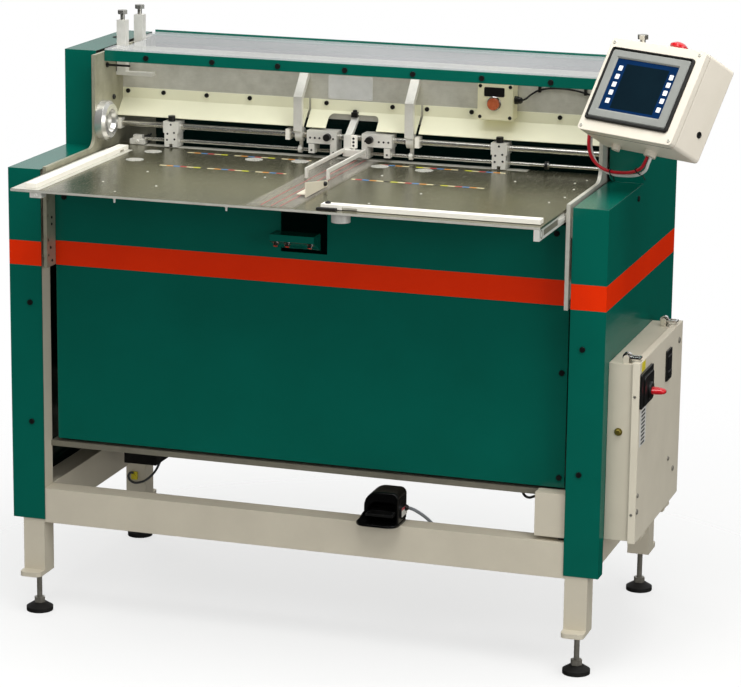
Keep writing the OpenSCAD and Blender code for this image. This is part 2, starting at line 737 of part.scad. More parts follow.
module gauge_plate() color(c_cream) at() {
    prism_x([41, 44], [[-83, strip_top + gap], [58, strip_top + gap], [58, strip_top + 12],
        [-83, strip_top + 32]]);
    bar([14, 44], [-60, 58], [strip_top + gap, strip_top + gap + foot_plate]);
}

// Sliding table

module table_plate() color(c_steel) at() difference() {
    bar([-t_hw, t_hw], [t_yf, t_yr], [t_z, work_h]);
    for (p = discs) {
        rod_z(p[0], p[1], [work_h - disc_in - gap, work_h + 1], disc_d + 2 * gap);
        rod_z(p[0], p[1], [t_z - 1, work_h], 12);
    }
    rod_z(lbar_x, lbar_piston, [t_z - 1, work_h + 1], piston_d + 2);
    rod_z(fbar_piston, fbar_y, [t_z - 1, work_h + 1], piston_d + 2);
}

module vacuum_box() color(c_steel) at() difference() {
    bar([-vbox_x, vbox_x], [vbox_y, t_yr - 25], [t_z - vbox_h, t_z - gap]);
    bar([-vbox_x + sheet, vbox_x - sheet], [vbox_y + sheet, t_yr - 25 - sheet],
        [t_z - vbox_h + sheet, t_z]);
}

module table_rails() color(c_alu) at() for (s = [-1, 1]) side(s) {
    bar([rail_in, rail_out], [s > 0 ? t_yf : rail_back, t_yr - 20], [rail_low, rail_top]);
    bar([rail_out - 1, rail_out + rail_tongue], [rail_back, t_yr - 20], [rail_mid - 4, rail_mid + 4]);
    rod_x([rail_in - 3, rail_in + 1], rail_back + 14, rail_mid, 18);
}

module cheek_rails() color(c_steel) at() for (s = [-1, 1]) side(s) difference() {
    bar([rail_out + gap, cheek_in - gap], [5, cheek_d - 40], [rail_low + 2, rail_top - 2]);
    bar([rail_out, rail_out + rail_tongue + gap], [0, cheek_d], [rail_mid - 4 - gap, rail_mid + 4 + gap]);
}

module suction_discs() color(c_white) at() for (p = discs)
    rod_z(p[0], p[1], [work_h - disc_in, work_h + disc_out], disc_d);

module clear_strip() color(c_clear, 0.5) at() bar(strip_x, [t_yf + 2, t_yr - 28], [work_h + gap, strip_top]);

module left_bar() color(c_white) at() {
    difference() {
        bar([lbar_x - hold_w / 2, lbar_x + hold_w / 2], lbar_y, [hold_z, hold_z + hold_t]);
        bar([lbar_x + 3, lbar_x + hold_w], [lbar_piston - 36, lbar_piston - 14],
            [hold_z - 1, hold_z + hold_t / 2]);
    }
    rod_z(lbar_x, lbar_piston, [piston_z, hold_z + 1], piston_d);
}

module front_bar() color(c_white) at() {
    difference() {
        bar(fbar_x, [fbar_y - hold_w / 2, fbar_y + hold_w / 2], [hold_z, hold_z + hold_t]);
        bar([fbar_piston + 6, fbar_piston + 38], [fbar_y - hold_w, fbar_y - 6],
            [hold_z - 1, hold_z + hold_t / 2]);
    }
    rod_z(fbar_piston, fbar_y, [piston_z, hold_z + 1], piston_d);
}

module bar_cylinders() color(c_alu) at()
    for (p = [[lbar_x, lbar_piston], [fbar_piston, fbar_y]]) difference() {
        rod_z(p[0], p[1], [cyl_z, t_z - gap], cyl_d);
        rod_z(p[0], p[1], [cyl_z + 3, t_z + 1], piston_d + 2 * run);
    }

// Boxes and switches

module valve_box() color(c_green) at() prism_x(valve_x, [[0, valve_z[2]], [0, valve_z[1]],
    [panel_y - gap, valve_z[0]], [panel_y - gap, valve_z[2]]]);

module cycle_box() color(c_cream) at() difference() {
    union() {
        bar(box_x, [box_y[0], box_y[0] + 9], box_z);
        bar([box_x[0] + 1, box_x[1] - 1], [box_y[0] + 8, box_y[1]], [box_z[0] + 1, box_z[1] - 1]);
    }
    rod_y(btn_x, [box_y[0] - 1, box_y[0] + 16], btn_z, btn_stem + 2 * run);
}

module cycle_button() color(c_red) at() {
    rod_y(btn_x, [box_y[0] - 11, box_y[0] - 4.5], btn_z, 26);
    rod_y(btn_x, [box_y[0] - 5, box_y[0] + 10], btn_z, btn_stem);
}

module con() {
    translate([con_x, con_y, con_z]) rotate([-con_tilt, 0, -con_yaw]) children();
}

module console_body() color(c_cream) at() difference() {
    union() {
        con() round_slab([-con_w / 2, con_w / 2], [0, con_t], [0, con_h], con_r);
        // Cable glands under the box
        for (p = [[gland_x, 26], [gland_x - 98, 18]]) con() rod_z(p[0], gland_y, [-12, 1], p[1]);
        translate([piv_x, piv_y, 0]) rotate([0, 0, -con_yaw]) bar([-16, 60], [-58, 18], lug_z);
    }
    // Seam between lid and box
    con() difference() {
        bar([-con_w, con_w], [13, 14.5], [-con_w, con_w]);
        round_slab([-con_w / 2 + 1, con_w / 2 - 1], [12, 15], [1, con_h - 1], con_r - 1);
    }
    con() round_slab([-con_w / 2 + con_wall, con_w / 2 - con_wall], [con_wall, con_t - con_wall],
        [con_wall, con_h - con_wall], con_r - con_wall);
    con() bar([screen[0] + 4, screen[1] - 4], [-1, con_wall + 1], [screen[2] + 4, screen[3] - 4]);
    con() rod_z(estop_at[0], estop_at[1], [con_h - 30, con_h + 1], estop_stem + 2 * run);
    rod_z(piv_x, piv_y, [lug_z[0] - 1, lug_z[1] + 1], piv_d + 2 * run);
}

module screen_panel() color(c_black) at() con() {
    bar([screen[0], screen[1]], [-5, -gap], [screen[2], screen[3]]);
    bar([screen[0] + 6, screen[1] - 6], [-1, 10], [screen[2] + 6, screen[3] - 6]);
}

module estop_knob() color(c_red) at() con() translate([estop_at[0], estop_at[1], con_h]) {
    rod_z(0, 0, [-22, estop_lift + 1], estop_stem);
    rotate_extrude() polygon([[0, estop_lift], [estop_d / 2 - 5, estop_lift], [estop_d / 2, estop_lift + 4],
        [estop_d / 2, estop_lift + 9], [estop_d / 2 - 5, estop_lift + 13], [estop_d / 4, estop_lift + 16],
        [0, estop_lift + 17]]);
}

module console_pivot() color(c_steel) at() {
    rod_z(piv_x, piv_y, [tower_h + gap, lug_z[0] - gap], 34);
    rod_z(piv_x, piv_y, [tower_h - 30, lug_z[1] + 14], piv_d);
    hex_z(piv_x, piv_y, [lug_z[1] + 13, lug_z[1] + 23], bolt_af);
    hex_z(piv_x, piv_y, [tower_h - sheet - gap - 10, tower_h - sheet - gap], bolt_af);
}

module console_hoses() color(c_red) at() {
    hose(hose_red, hose_d[0]);
    hose(hose_grey, hose_d[1]);
}

module cabinet_body() color(c_cream) at() {
    difference() {
        bar(cab_x, cab_y, cab_z);
        bar([cab_x[0] + sheet, cab_x[1] + 1], [cab_y[0] + sheet, cab_y[1] - sheet],
            [cab_z[0] + sheet, cab_z[1] - sheet]);
    }
    for (y = hinge_ys) {
        for (e = [y - 6, y + hinge_w + 0.5]) {
            prism_y([e, e + 5.5], [[cab_x[1] - 22, cab_z[0] + 1], [cab_x[1], cab_z[0] + 1],
                [cab_x[1], hinge_z + 7.4], [hinge_x, hinge_z + 7.4], [hinge_x, hinge_z - 7],
                [hinge_x - 6, hinge_z - 7], [cab_x[1] - 22, cab_z[0] - 1]]);
            rod_y(hinge_x, [e, e + 5.5], hinge_z, 14);
        }
        rod_y(hinge_x, [y - 5, y + hinge_w + 5], hinge_z, hinge_pin);
    }
    for (y = latch_ys) {
        for (e = [y, y + latch_w - latch_ear]) {
            bar([latch_x - 6, latch_x + 6], [e, e + latch_ear], [cab_z[1] - 1, latch_z]);
            rod_y(latch_x, [e, e + latch_ear], latch_z, 12);
        }
        rod_y(latch_x, [y + 1, y + latch_w - 1], latch_z, latch_pin);
    }
}

module cabinet_door() color(c_cream) at() difference() {
    union() {
        difference() {
            bar(door_x, [cab_y[0] - door_over, cab_y[1] + door_over],
                [cab_z[0] - door_over, cab_z[1] + door_over]);
            bar([door_x[0] - 1, door_x[1] - sheet],
                [cab_y[0] - door_over + sheet, cab_y[1] + door_over - sheet],
                [cab_z[0] - door_over + sheet, cab_z[1] + door_over - sheet]);
        }
        for (y = hinge_ys) {
            rod_y(hinge_x, [y, y + hinge_w], hinge_z, 12);
            bar([hinge_x - 5, hinge_x + 5], [y, y + hinge_w], [hinge_z, cab_z[0] - door_over + 1]);
        }
    }
    for (y = hinge_ys) rod_y(hinge_x, [y - 1, y + hinge_w + 1], hinge_z, hinge_pin + 2 * run);
    rod_x([door_x[1] - sheet - 1, door_x[1] + 1], sw_y, sw_z, sw_stem + 2 * run);
}

// Bail latch with a round eye, hinged on the cabinet top and lying over the door's upper edge
module latch(y) {
    difference() {
        union() {
            rod_y(latch_x, [y + latch_w / 2 - 4, y + latch_w / 2 + 4], latch_z, latch_eye);
            rod_y(latch_x, [y + latch_ear + 0.5, y + latch_w - latch_ear - 0.5], latch_z, 9);
            bar([latch_x, door_x[1] - 3], [y + latch_ear + 2, y + latch_w - latch_ear - 2],
                [latch_z - 2, latch_z + 2]);
        }
        rod_y(latch_x, [y, y + latch_w], latch_z, latch_pin + 2 * run);
        bar([latch_x + 12, door_x[1] - 7], [y + latch_ear + 6, y + latch_w - latch_ear - 6],
            [latch_z - 3, latch_z + 3]);
    }
}

module front_latch() color(c_alu) at() latch(latch_ys[0]);

module rear_latch() color(c_alu) at() latch(latch_ys[1]);

module switch_handle() color(c_red) at() {
    rod_x([door_x[1] - 14, door_x[1] + 9], sw_y, sw_z, sw_stem);
    rod_x([door_x[1] + 8.5, door_x[1] + 15], sw_y, sw_z, 30);
    translate([door_x[1], sw_y, sw_z - grip_t / 2]) linear_extrude(grip_t) {
        translate([14, -grip_l / 2]) square([22, grip_l]);
        translate([36, -grip_l / 2 + 8]) square([8, grip_l - 16]);
        for (y = [-grip_l / 2 + 8, grip_l / 2 - 8]) translate([36, y]) circle(d = 16);
    }
}

module foot_switch() color(c_black) at() difference() {
    union() {
        round_bar([foot_x[0] - foot_wing, foot_x[1] + 2], foot_y, [foot_z, foot_z + foot_base], 12);
        bar(foot_x, [foot_y[0] + 20, foot_y[1] - 4], [foot_z + 1, foot_z + foot_h - foot_r]);
        bar([foot_x[0] + foot_r, foot_x[1] - foot_r], [foot_y[0] + 20, foot_y[1] - 4],
            [foot_z + 1, foot_z + foot_h]);
        for (x = [foot_x[0] + foot_r, foot_x[1] - foot_r])
            rod_y(x, [foot_y[0] + 20, foot_y[1] - 4], foot_z + foot_h - foot_r, 2 * foot_r);
        // Sloped skirt on the left
        prism_y([foot_y[0] + 12, foot_y[1] - 12], [[foot_x[0] - foot_wing + 3, foot_z + foot_base - 1],
            [foot_x[0] + 1, foot_z + foot_base - 1], [foot_x[0] + 1, foot_z + foot_base + 20]]);
        rod_x([foot_x[1] - 2, foot_x[1] + 7], cable_y, cable_z, cable_d + 7);
    }
    bar([foot_x[0] + foot_wall, foot_x[1] - foot_wall], [foot_y[0] - 1, ped_y + 9],
        [foot_z + foot_base, foot_z + foot_h - foot_r]);
    rod_x([foot_x[0] + 2, foot_x[1] - 2], ped_y, ped_z, ped_pin + 2 * run);
}

module foot_pedal() color(c_black) at() {
    bar([foot_x[0] + foot_wall + 1, foot_x[1] - foot_wall - 1], [foot_y[0] + 6, ped_y],
        [ped_z - 1, ped_z + 4]);
    rod_x([foot_x[0] + foot_wall + 1, foot_x[1] - foot_wall - 1], ped_y, ped_z, 12);
    rod_x([foot_x[0] + 2.5, foot_x[1] - 2.5], ped_y, ped_z, ped_pin);
}

module pedal_cable() color(c_steel) at() hose(cable_pts, cable_d);

module junction_box() color(c_cream) at() difference() {
    bar(jb_x, jb_y, jb_z);
    bar([jb_x[0] - 1, jb_x[1] + 1], [jb_y[0] + 7, jb_y[0] + 8.5], [jb_z[1] - 1.5, jb_z[1] + 1]);
}

module vacuum_unit() color(c_black) at() {
    bar(vac_x, vac_y, [vac_z, tray_z[1] - sheet - gap]);
    rod_x([vac_x[1] - 1, vac_x[1] + 26], (vac_y[0] + vac_y[1]) / 2, vac_z + 30, 24);
}

frame_legs();
frame_rails();
level_screws();
foot_pads();
left_cheek();
right_cheek();
left_cover();
right_cover();
front_panel();
rear_panel();
floor_tray();
top_rails();
top_sheet();
back_wall();
guards();
panel_screws();
adjust_posts();
adjust_screws();
end_disc();
upper_shaft();
shaft_collars();
lower_rod();
stop_left();
stop_right();
stop_left_knob();
stop_right_knob();
spine_left();
spine_right();
spine_left_knob();
spine_right_knob();
hangers();
centre_arm();
gauge_plate();
table_plate();
vacuum_box();
table_rails();
cheek_rails();
suction_discs();
clear_strip();
left_bar();
front_bar();
bar_cylinders();
valve_box();
cycle_box();
cycle_button();
console_body();
screen_panel();
estop_knob();
console_pivot();
console_hoses();
cabinet_body();
cabinet_door();
front_latch();
rear_latch();
switch_handle();
foot_switch();
foot_pedal();
pedal_cable();
junction_box();
vacuum_unit();
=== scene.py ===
from math import atan2, cos, pi, radians, sin

import bmesh
import bpy
from mathutils import Matrix, Vector


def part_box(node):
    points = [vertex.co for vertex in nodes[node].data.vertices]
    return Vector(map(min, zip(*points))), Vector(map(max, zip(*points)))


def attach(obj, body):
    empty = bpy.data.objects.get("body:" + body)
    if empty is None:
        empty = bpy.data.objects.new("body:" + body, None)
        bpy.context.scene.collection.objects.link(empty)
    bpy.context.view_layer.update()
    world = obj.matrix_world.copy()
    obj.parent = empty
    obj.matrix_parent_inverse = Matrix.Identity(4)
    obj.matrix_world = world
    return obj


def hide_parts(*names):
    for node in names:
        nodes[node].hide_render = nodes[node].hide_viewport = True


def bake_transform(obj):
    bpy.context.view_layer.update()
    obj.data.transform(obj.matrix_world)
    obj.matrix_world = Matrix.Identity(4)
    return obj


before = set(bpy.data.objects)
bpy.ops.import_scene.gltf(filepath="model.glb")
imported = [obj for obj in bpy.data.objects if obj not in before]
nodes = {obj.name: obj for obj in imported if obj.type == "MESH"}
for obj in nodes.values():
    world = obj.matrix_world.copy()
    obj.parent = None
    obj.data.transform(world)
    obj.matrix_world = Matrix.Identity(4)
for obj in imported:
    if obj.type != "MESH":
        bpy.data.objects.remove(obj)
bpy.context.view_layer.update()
scene = bpy.context.scene
print("stage: frame loaded,", len(nodes), "nodes")

# Machine coordinates in mm: x from the middle, y from the front of the covers, z from the floor
halfWidth = 670.0
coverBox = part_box("right_cover")
origin = {"x": coverBox[1][0] * 1000 - halfWidth, "y": coverBox[0][1] * 1000}


def at(x, y, z):
    return Vector(((x + origin["x"]) / 1000, (y + origin["y"]) / 1000, z / 1000))


def linear(hexText):
    parts = [int(hexText[i:i + 2], 16) / 255 for i in (1, 3, 5)]
    return tuple(p / 12.92 if p <= 0.04045 else ((p + 0.055) / 1.055) ** 2.4 for p in parts) + (1,)


# Camera, solved from the straight edges of the photograph
view = {"lens": 146.35, "sensor": 36.0, "azimuth": 17.65, "elevation": 13.663, "roll": 0.686,
        "target": (66.101, 300.0, 613.14), "distance": 6700.961}


def makeCamera():
    az, el, roll = (radians(view[k]) for k in ("azimuth", "elevation", "roll"))
    back = Vector((sin(az) * cos(el), -cos(az) * cos(el), sin(el)))
    right = Vector((cos(az), sin(az), 0))
    up = back.cross(right)
    turned = (right * cos(roll) + up * sin(roll), up * cos(roll) - right * sin(roll))
    eye = at(*view["target"]) + back * view["distance"] / 1000
    data = bpy.data.cameras.new("photoCamera")
    data.sensor_fit = "HORIZONTAL"
    data.sensor_width = view["sensor"]
    data.lens = view["lens"]
    data.clip_end = 60
    camera = bpy.data.objects.new("photoCamera", data)
    scene.collection.objects.link(camera)
    spin = Matrix((turned[0], turned[1], back)).transposed().to_4x4()
    camera.matrix_world = Matrix.Translation(eye) @ spin
    scene.camera = camera


makeCamera()
print("stage: camera placed")


# Material building blocks

def setUp(tree, node, settings):
    # Keys in lower case are settings of the node, all others its inputs, given as a value or a link
    for key, value in settings.items():
        if isinstance(key, str) and key[0].islower():
            setattr(node, key, value)
        elif isinstance(value, bpy.types.NodeSocket):
            tree.links.new(value, node.inputs[key])
        else:
            node.inputs[key].default_value = value


def addNode(tree, kind, settings=None):
    # Gives the outputs of the new node
    node = tree.nodes.new(kind)
    setUp(tree, node, settings or {})
    return node.outputs


def startMaterial(name):
    material = bpy.data.materials.new(name)
    material.use_nodes = True
    tree = material.node_tree
    place = addNode(tree, "ShaderNodeTexCoord")["Object"]
    return material, tree, tree.nodes["Principled BSDF"], place


def between(tree, value, low, high):
    above = addNode(tree, "ShaderNodeMath", {"operation": "GREATER_THAN", 0: value, 1: low})[0]
    below = addNode(tree, "ShaderNodeMath", {"operation": "LESS_THAN", 0: value, 1: high})[0]
    return addNode(tree, "ShaderNodeMath", {"operation": "MULTIPLY", 0: above, 1: below})[0]


# What several finishes share
hoseSkin = {"patch": 12, "grain": (3, 0.02)}
sheath = {"patch": 15, "rough": (0.42, 0.55), "grain": (2, 0.03)}
glass = {"rough": (0.1, 0.14), "grain": (0.5, 0.0)}
foil = {"patch": 10, "rough": (0.3, 0.4), "grain": (1, 0.01)}
# One entry a finish. tone and shade are the ends of the colour variation, patch its size in mm, rough the
# roughness range, grain the size and height in mm of the relief, stretch how much longer brushed lines are
# along X, Y and Z, round the mm by which edges look broken, gloss the strength of the surface reflection,
# metal how metallic it is, coat the weight of a clear coat. Grain under about 1 mm is drawn coarser than the
# real one, so that it shows.
finishes = {
    # Glossy powder coat over sheet steel: deep green, mirrors the backdrop at flat angles, faint orange peel
    "greenPowderCoat": {"tone": "#006253", "shade": "#005d4e", "patch": 160, "rough": (0.16, 0.22),
                        "gloss": 0.4, "grain": (2.2, 0.008), "round": 1.6},
    # Satin powder coat on the tube frame, cabinet and junction box: warm light grey, fine texture
    "beigePowderCoat": {"tone": "#d3cbb7", "shade": "#cac2af", "patch": 120, "rough": (0.42, 0.52),
                        "gloss": 0.3, "grain": (1.2, 0.02), "round": 1.5},
    # The same paint on the cabinet door and the gauge plate: a little lighter and smoother
    "creamPowderCoat": {"tone": "#e2dac6", "shade": "#dad2be", "patch": 90, "rough": (0.4, 0.5),
                        "gloss": 0.3, "grain": (0.9, 0.015), "round": 2.2},
    # Lighter coat on the console box: nearly white, smooth
    "palePowderCoat": {"tone": "#eee6d6", "shade": "#e7dfce", "patch": 90, "rough": (0.36, 0.46),
                       "gloss": 0.35, "grain": (0.9, 0.012), "round": 2.4},
    # Yellowish cream paint of the bent guards
    "guardPaint": {"tone": "#faf8da", "shade": "#f3f1d3", "patch": 140, "rough": (0.38, 0.48), "gloss": 0.3,
                   "grain": (1.2, 0.012), "round": 1.0},
    # Moulded thermoset of the button box, yellower and duller
    "creamMoulding": {"tone": "#fdf8d3", "shade": "#f5f0ca", "patch": 40, "rough": (0.45, 0.55),
                      "grain": (0.8, 0.02), "round": 1.5},
    # Zinc coated sheet: grey with soft spangle and faint rolling lines
    "zincSheet": {"tone": "#d6d4c9", "shade": "#c2c0b4", "patch": 26, "rough": (0.36, 0.5), "metal": 0.25,
                  "grain": (3, 0.006), "stretch": (6, 1, 1)},
    # Older zinc coat on the left cheek plate: olive grey
    "agedZinc": {"tone": "#b3b09a", "shade": "#9a9782", "patch": 30, "rough": (0.38, 0.52), "metal": 0.35,
                 "grain": (3, 0.008)},
    # Rolled floor tray sheet: brownish grey, darkened as painted shade under the panel
    "shadedTraySheet": {"tone": "#8e8a7a", "shade": "#7d796a", "patch": 50, "rough": (0.45, 0.6), "metal": 0.3,
                  "grain": (2, 0.01), "stretch": (8, 1, 1)},
    # Ground round steel: bright, drawn along its length
    "groundSteel": {"tone": "#d2d0c8", "shade": "#c2c0b8", "patch": 60, "rough": (0.2, 0.28), "metal": 0.85,
                    "grain": (0.9, 0.0002), "stretch": (30, 1, 1), "round": 0.6},
    # Polished steel of the end disc: hard bright and dark bands
    "polishedSteel": {"tone": "#e2e1dc", "shade": "#d2d1cc", "patch": 40, "rough": (0.2, 0.28),
                      "metal": 0.7, "grain": (0.8, 0.003), "round": 1.0},
    # Burnished steel screws: grey brown with a dull shine
    "burnishedSteel": {"tone": "#98948a", "shade": "#7d7a70", "patch": 8, "rough": (0.35, 0.5),
                       "metal": 0.4, "grain": (1.0, 0.02), "round": 0.5},
    # Long-brushed table plate: olive grey, cloudy from wear by sliding boards
    "brushedTable": {"tone": "#83816a", "shade": "#777560", "patch": 110, "rough": (0.22, 0.28),
                     "metal": 0.8, "grain": (0.7, 0.0005), "stretch": (1, 40, 1), "round": 0.8},
    # Milled aluminium blocks and profiles: pale, satin, with cutter lines
    "milledAluminium": {"tone": "#f0eee6", "shade": "#e0ded5", "patch": 30, "rough": (0.28, 0.4),
                        "metal": 0.25, "grain": (0.8, 0.012), "stretch": (8, 1, 1), "round": 0.8},
    # Chrome plate on latches, valve knobs and button ring: mirror bright
    "chromePlate": {"tone": "#dcdcdc", "shade": "#cacaca", "patch": 20, "rough": (0.08, 0.16), "metal": 1.0,
                    "grain": (1.5, 0.003), "round": 0.8},
    # Yellow chromated screw heads
    "yellowZinc": {"tone": "#a99a4a", "shade": "#8f8038", "patch": 5, "rough": (0.3, 0.4), "metal": 0.8,
                   "grain": (0.8, 0.01), "round": 0.4},
    # White engineering plastic, milled: satin, faintly mottled
    "whiteAcetal": {"tone": "#fdf9ee", "shade": "#f5f1e5", "patch": 35, "rough": (0.35, 0.48),
                    "grain": (0.7, 0.015), "round": 1.2},
    # Black moulded plastic with a fine spark-eroded grain
    "blackMoulding": {"tone": "#111111", "shade": "#181817", "patch": 25, "rough": (0.35, 0.48),
                      "gloss": 0.4, "grain": (0.8, 0.03), "round": 1.2},
    # Glossy black die casting paint of the foot switch
    "blackGloss": {"tone": "#050505", "shade": "#090909", "patch": 40, "rough": (0.2, 0.28), "gloss": 0.4,
                   "grain": (1.2, 0.01), "round": 1.5},
    # Black satin paint on the vacuum unit
    "blackPaint": {"tone": "#121212", "shade": "#1a1a1a", "patch": 60, "rough": (0.4, 0.5), "gloss": 0.3,
                   "grain": (1.5, 0.02), "round": 1.5},
    # Glossy red moulding of stop knob and switch handle
    "redMoulding": {"tone": "#d3121f", "shade": "#bd0e1a", "patch": 20, "rough": (0.2, 0.3), "coat": 0.3,
                    "grain": (1.0, 0.006), "round": 1.0},
    # Orange push-button lens with a ribbed inside that breaks up the light
    "orangeLens": {"tone": "#d9764a", "shade": "#c65a34", "patch": 5, "rough": (0.15, 0.25), "coat": 0.4,
                   "grain": (1.4, 0.05)},
    # Black rubber of foot pads, gasket and leads: dull, dusty
    "blackRubber": {"tone": "#191918", "shade": "#262523", "patch": 18, "rough": (0.6, 0.75), "gloss": 0.3,
                    "grain": (1.0, 0.05), "round": 1.5},
    # Red and pale grey flexible plastic tube: smooth with slight waves
    "redTube": {**hoseSkin, "tone": "#c00f22", "shade": "#a80c1e", "rough": (0.28, 0.38)},
    "greyTube": {**hoseSkin, "tone": "#dededa", "shade": "#cfcfca", "rough": (0.3, 0.4)},
    # Grey sheath of the foot switch cable, darker on the earth cable
    "greyCable": {**sheath, "tone": "#7c8084", "shade": "#6c7074"},
    "darkCable": {**sheath, "tone": "#4a4c4e", "shade": "#3c3e40"},
    # Silver-grey moulded bezel round the screen
    "greyBezel": {"tone": "#989a95", "shade": "#8f918c", "patch": 30, "rough": (0.4, 0.48), "gloss": 0.25,
                  "grain": (0.6, 0.015), "round": 1.0},
    # Switched-on screen: dark blue field, near black middle, behind smooth glass
    "screenBlue": {**glass, "tone": "#0d2e58", "shade": "#0b274b", "patch": 60, "gloss": 0.15},
    "screenDark": {**glass, "tone": "#0d1c25", "shade": "#0f2029", "patch": 80, "gloss": 0.15},
    "screenWhite": {**glass, "tone": "#fbfbfb", "shade": "#f2f4f6", "patch": 10, "rough": (0.1, 0.15)},
    # Nearly black strips in the narrow seams: painted shade of the gaps
    "paintedSeamShade": {"tone": "#121413", "shade": "#191b1a", "patch": 90, "rough": (0.6, 0.75), "gloss": 0.2,
                   "grain": (2.0, 0.02)},
    # Yellow film sticker, bare
    "yellowFilm": {**foil, "tone": "#efdf2e", "shade": "#e5d424"},
    # White film label, bare
    "whiteFilm": {**foil, "tone": "#e8e6e0", "shade": "#dcdad3", "rough": (0.35, 0.45)},
    # Bare anodised plate
    "barePlate": {"tone": "#ebebe8", "shade": "#dededa", "patch": 25, "rough": (0.3, 0.4), "metal": 0.2,
                  "grain": (0.5, 0.005), "stretch": (20, 1, 1)},
    # Red lacquer of the lines on the clear strip and of the bar on a bare label
    "redLacquer": {**foil, "tone": "#c43a44", "shade": "#b5323c", "patch": 15},
}
# Painted green sheets: low and high edge in mm of the red band, axis and sign of the inner faces, near black
# as painted shade of the unlit inside, and of the outer side faces, which have less shine than the rest
stripe = {"tone": "#f03300", "shade": "#e62d00"}
# Near-black tone of the inner faces: painted shade of the unlit inside
paintedShadeTone = "#031d19"
sideGloss = 0.03
grainShare = 0.35  # how much of the fine grain shows in the colour
sheets = {"leftGreen": {"band": (799, 853), "inner": (0, 1), "side": (0, -1)},
          "rightGreen": {"band": (799, 853), "inner": (0, -1), "side": (0, 1)},
          "panelGreen": {"band": (795, 849)}, "rearGreen": {"inner": (1, -1)}}


def facing(tree, place, axis, sign):
    # One on faces that look along the axis, nought on all others
    part = addNode(tree, "ShaderNodeSeparateXYZ", {0: place.node.outputs["Normal"]})[axis]
    along = addNode(tree, "ShaderNodeMath", {"operation": "MULTIPLY", 0: part, 1: sign})[0]
    return addNode(tree, "ShaderNodeMath", {"operation": "GREATER_THAN", 0: along, 1: 0.7})[0]


rgba = {"data_type": "RGBA"}  # a mix of colours has its inputs at 6 and 7


def makeFinish(name, spec):
    material, tree, shader, place = startMaterial(name)
    sheet = sheets.get(name, {})
    stretch = tuple(1 / s for s in spec.get("stretch", (1, 1, 1)))
    lines = addNode(tree, "ShaderNodeMapping", {"Vector": place, "Scale": stretch})[0]
    coarse = {"Vector": place, "Scale": 1000 / spec["patch"], "Detail": 4.0, "Roughness": 0.6}
    patch = addNode(tree, "ShaderNodeTexNoise", coarse)["Fac"]
    fine = {"Vector": lines, "Scale": 1000 / spec["grain"][0], "Detail": 3.0, "Roughness": 0.55}
    grain = addNode(tree, "ShaderNodeTexNoise", fine)["Fac"]
    share = {"operation": "MULTIPLY_ADD", 0: grain, 1: grainShare, 2: patch}
    both = addNode(tree, "ShaderNodeMath", share)[0]
    limits = {"Value": both, "From Min": 0.45, "From Max": 0.9}
    spread = addNode(tree, "ShaderNodeMapRange", limits)[0]
    tones = {**rgba, 0: spread, 6: linear(spec["shade"]), 7: linear(spec["tone"])}
    colour = addNode(tree, "ShaderNodeMix", tones)[2]
    if "band" in sheet:
        height = addNode(tree, "ShaderNodeSeparateXYZ", {0: place})[2]
        band = between(tree, height, sheet["band"][0] / 1000, sheet["band"][1] / 1000)
        tones = {**rgba, 0: spread, 6: linear(stripe["shade"]), 7: linear(stripe["tone"])}
        paint = addNode(tree, "ShaderNodeMix", tones)[2]
        colour = addNode(tree, "ShaderNodeMix", {**rgba, 0: band, 6: colour, 7: paint})[2]
    # Inner faces take the near-black tone as painted shade
    if "inner" in sheet:
        inner = facing(tree, place, *sheet["inner"])
        tones = {**rgba, 0: inner, 6: colour, 7: linear(paintedShadeTone)}
        colour = addNode(tree, "ShaderNodeMix", tones)[2]
    smooth, dull = spec["rough"]
    limits = {"Value": grain, "From Min": 0.3, "From Max": 0.7, "To Min": smooth, "To Max": dull}
    rough = addNode(tree, "ShaderNodeMapRange", limits)[0]
    gloss = spec.get("gloss", 0.5)
    if "side" in sheet:
        side = facing(tree, place, *sheet["side"])
        limits = {"Value": side, "To Min": gloss, "To Max": sideGloss}
        gloss = addNode(tree, "ShaderNodeMapRange", limits)[0]
    relief = {"Strength": 1.0, "Distance": spec["grain"][1] / 1000, "Height": grain}
    if "round" in spec:
        edge = {"samples": 4, "Radius": spec["round"] / 1000}
        relief["Normal"] = addNode(tree, "ShaderNodeBevel", edge)[0]
    bump = addNode(tree, "ShaderNodeBump", relief)[0]
    setUp(tree, shader, {"Base Color": colour, "Roughness": rough, "Metallic": spec.get("metal", 0.0),
                         "Specular IOR Level": gloss, "Coat Weight": spec.get("coat", 0.0),
                         "Coat Roughness": 0.08, "Normal": bump})
    return material


def makeClear(name, spec):
    # Cast acrylic: clear with a slight tint and a thin film of dust that catches the light
    material, tree, shader, place = startMaterial(name)
    clouds = {"Vector": place, "Scale": 1000 / spec["patch"], "Detail": 3.0, "Roughness": 0.5}
    haze = addNode(tree, "ShaderNodeTexNoise", clouds)["Fac"]
    thin, thick = spec["dust"]
    limits = {"Value": haze, "From Min": 0.35, "From Max": 0.75, "To Min": thin, "To Max": thick}
    film = addNode(tree, "ShaderNodeMapRange", limits)[0]
    setUp(tree, shader, {"Base Color": linear(spec["tint"]), "Roughness": spec["rough"], "IOR": 1.49,
                         "Alpha": film})
    return material


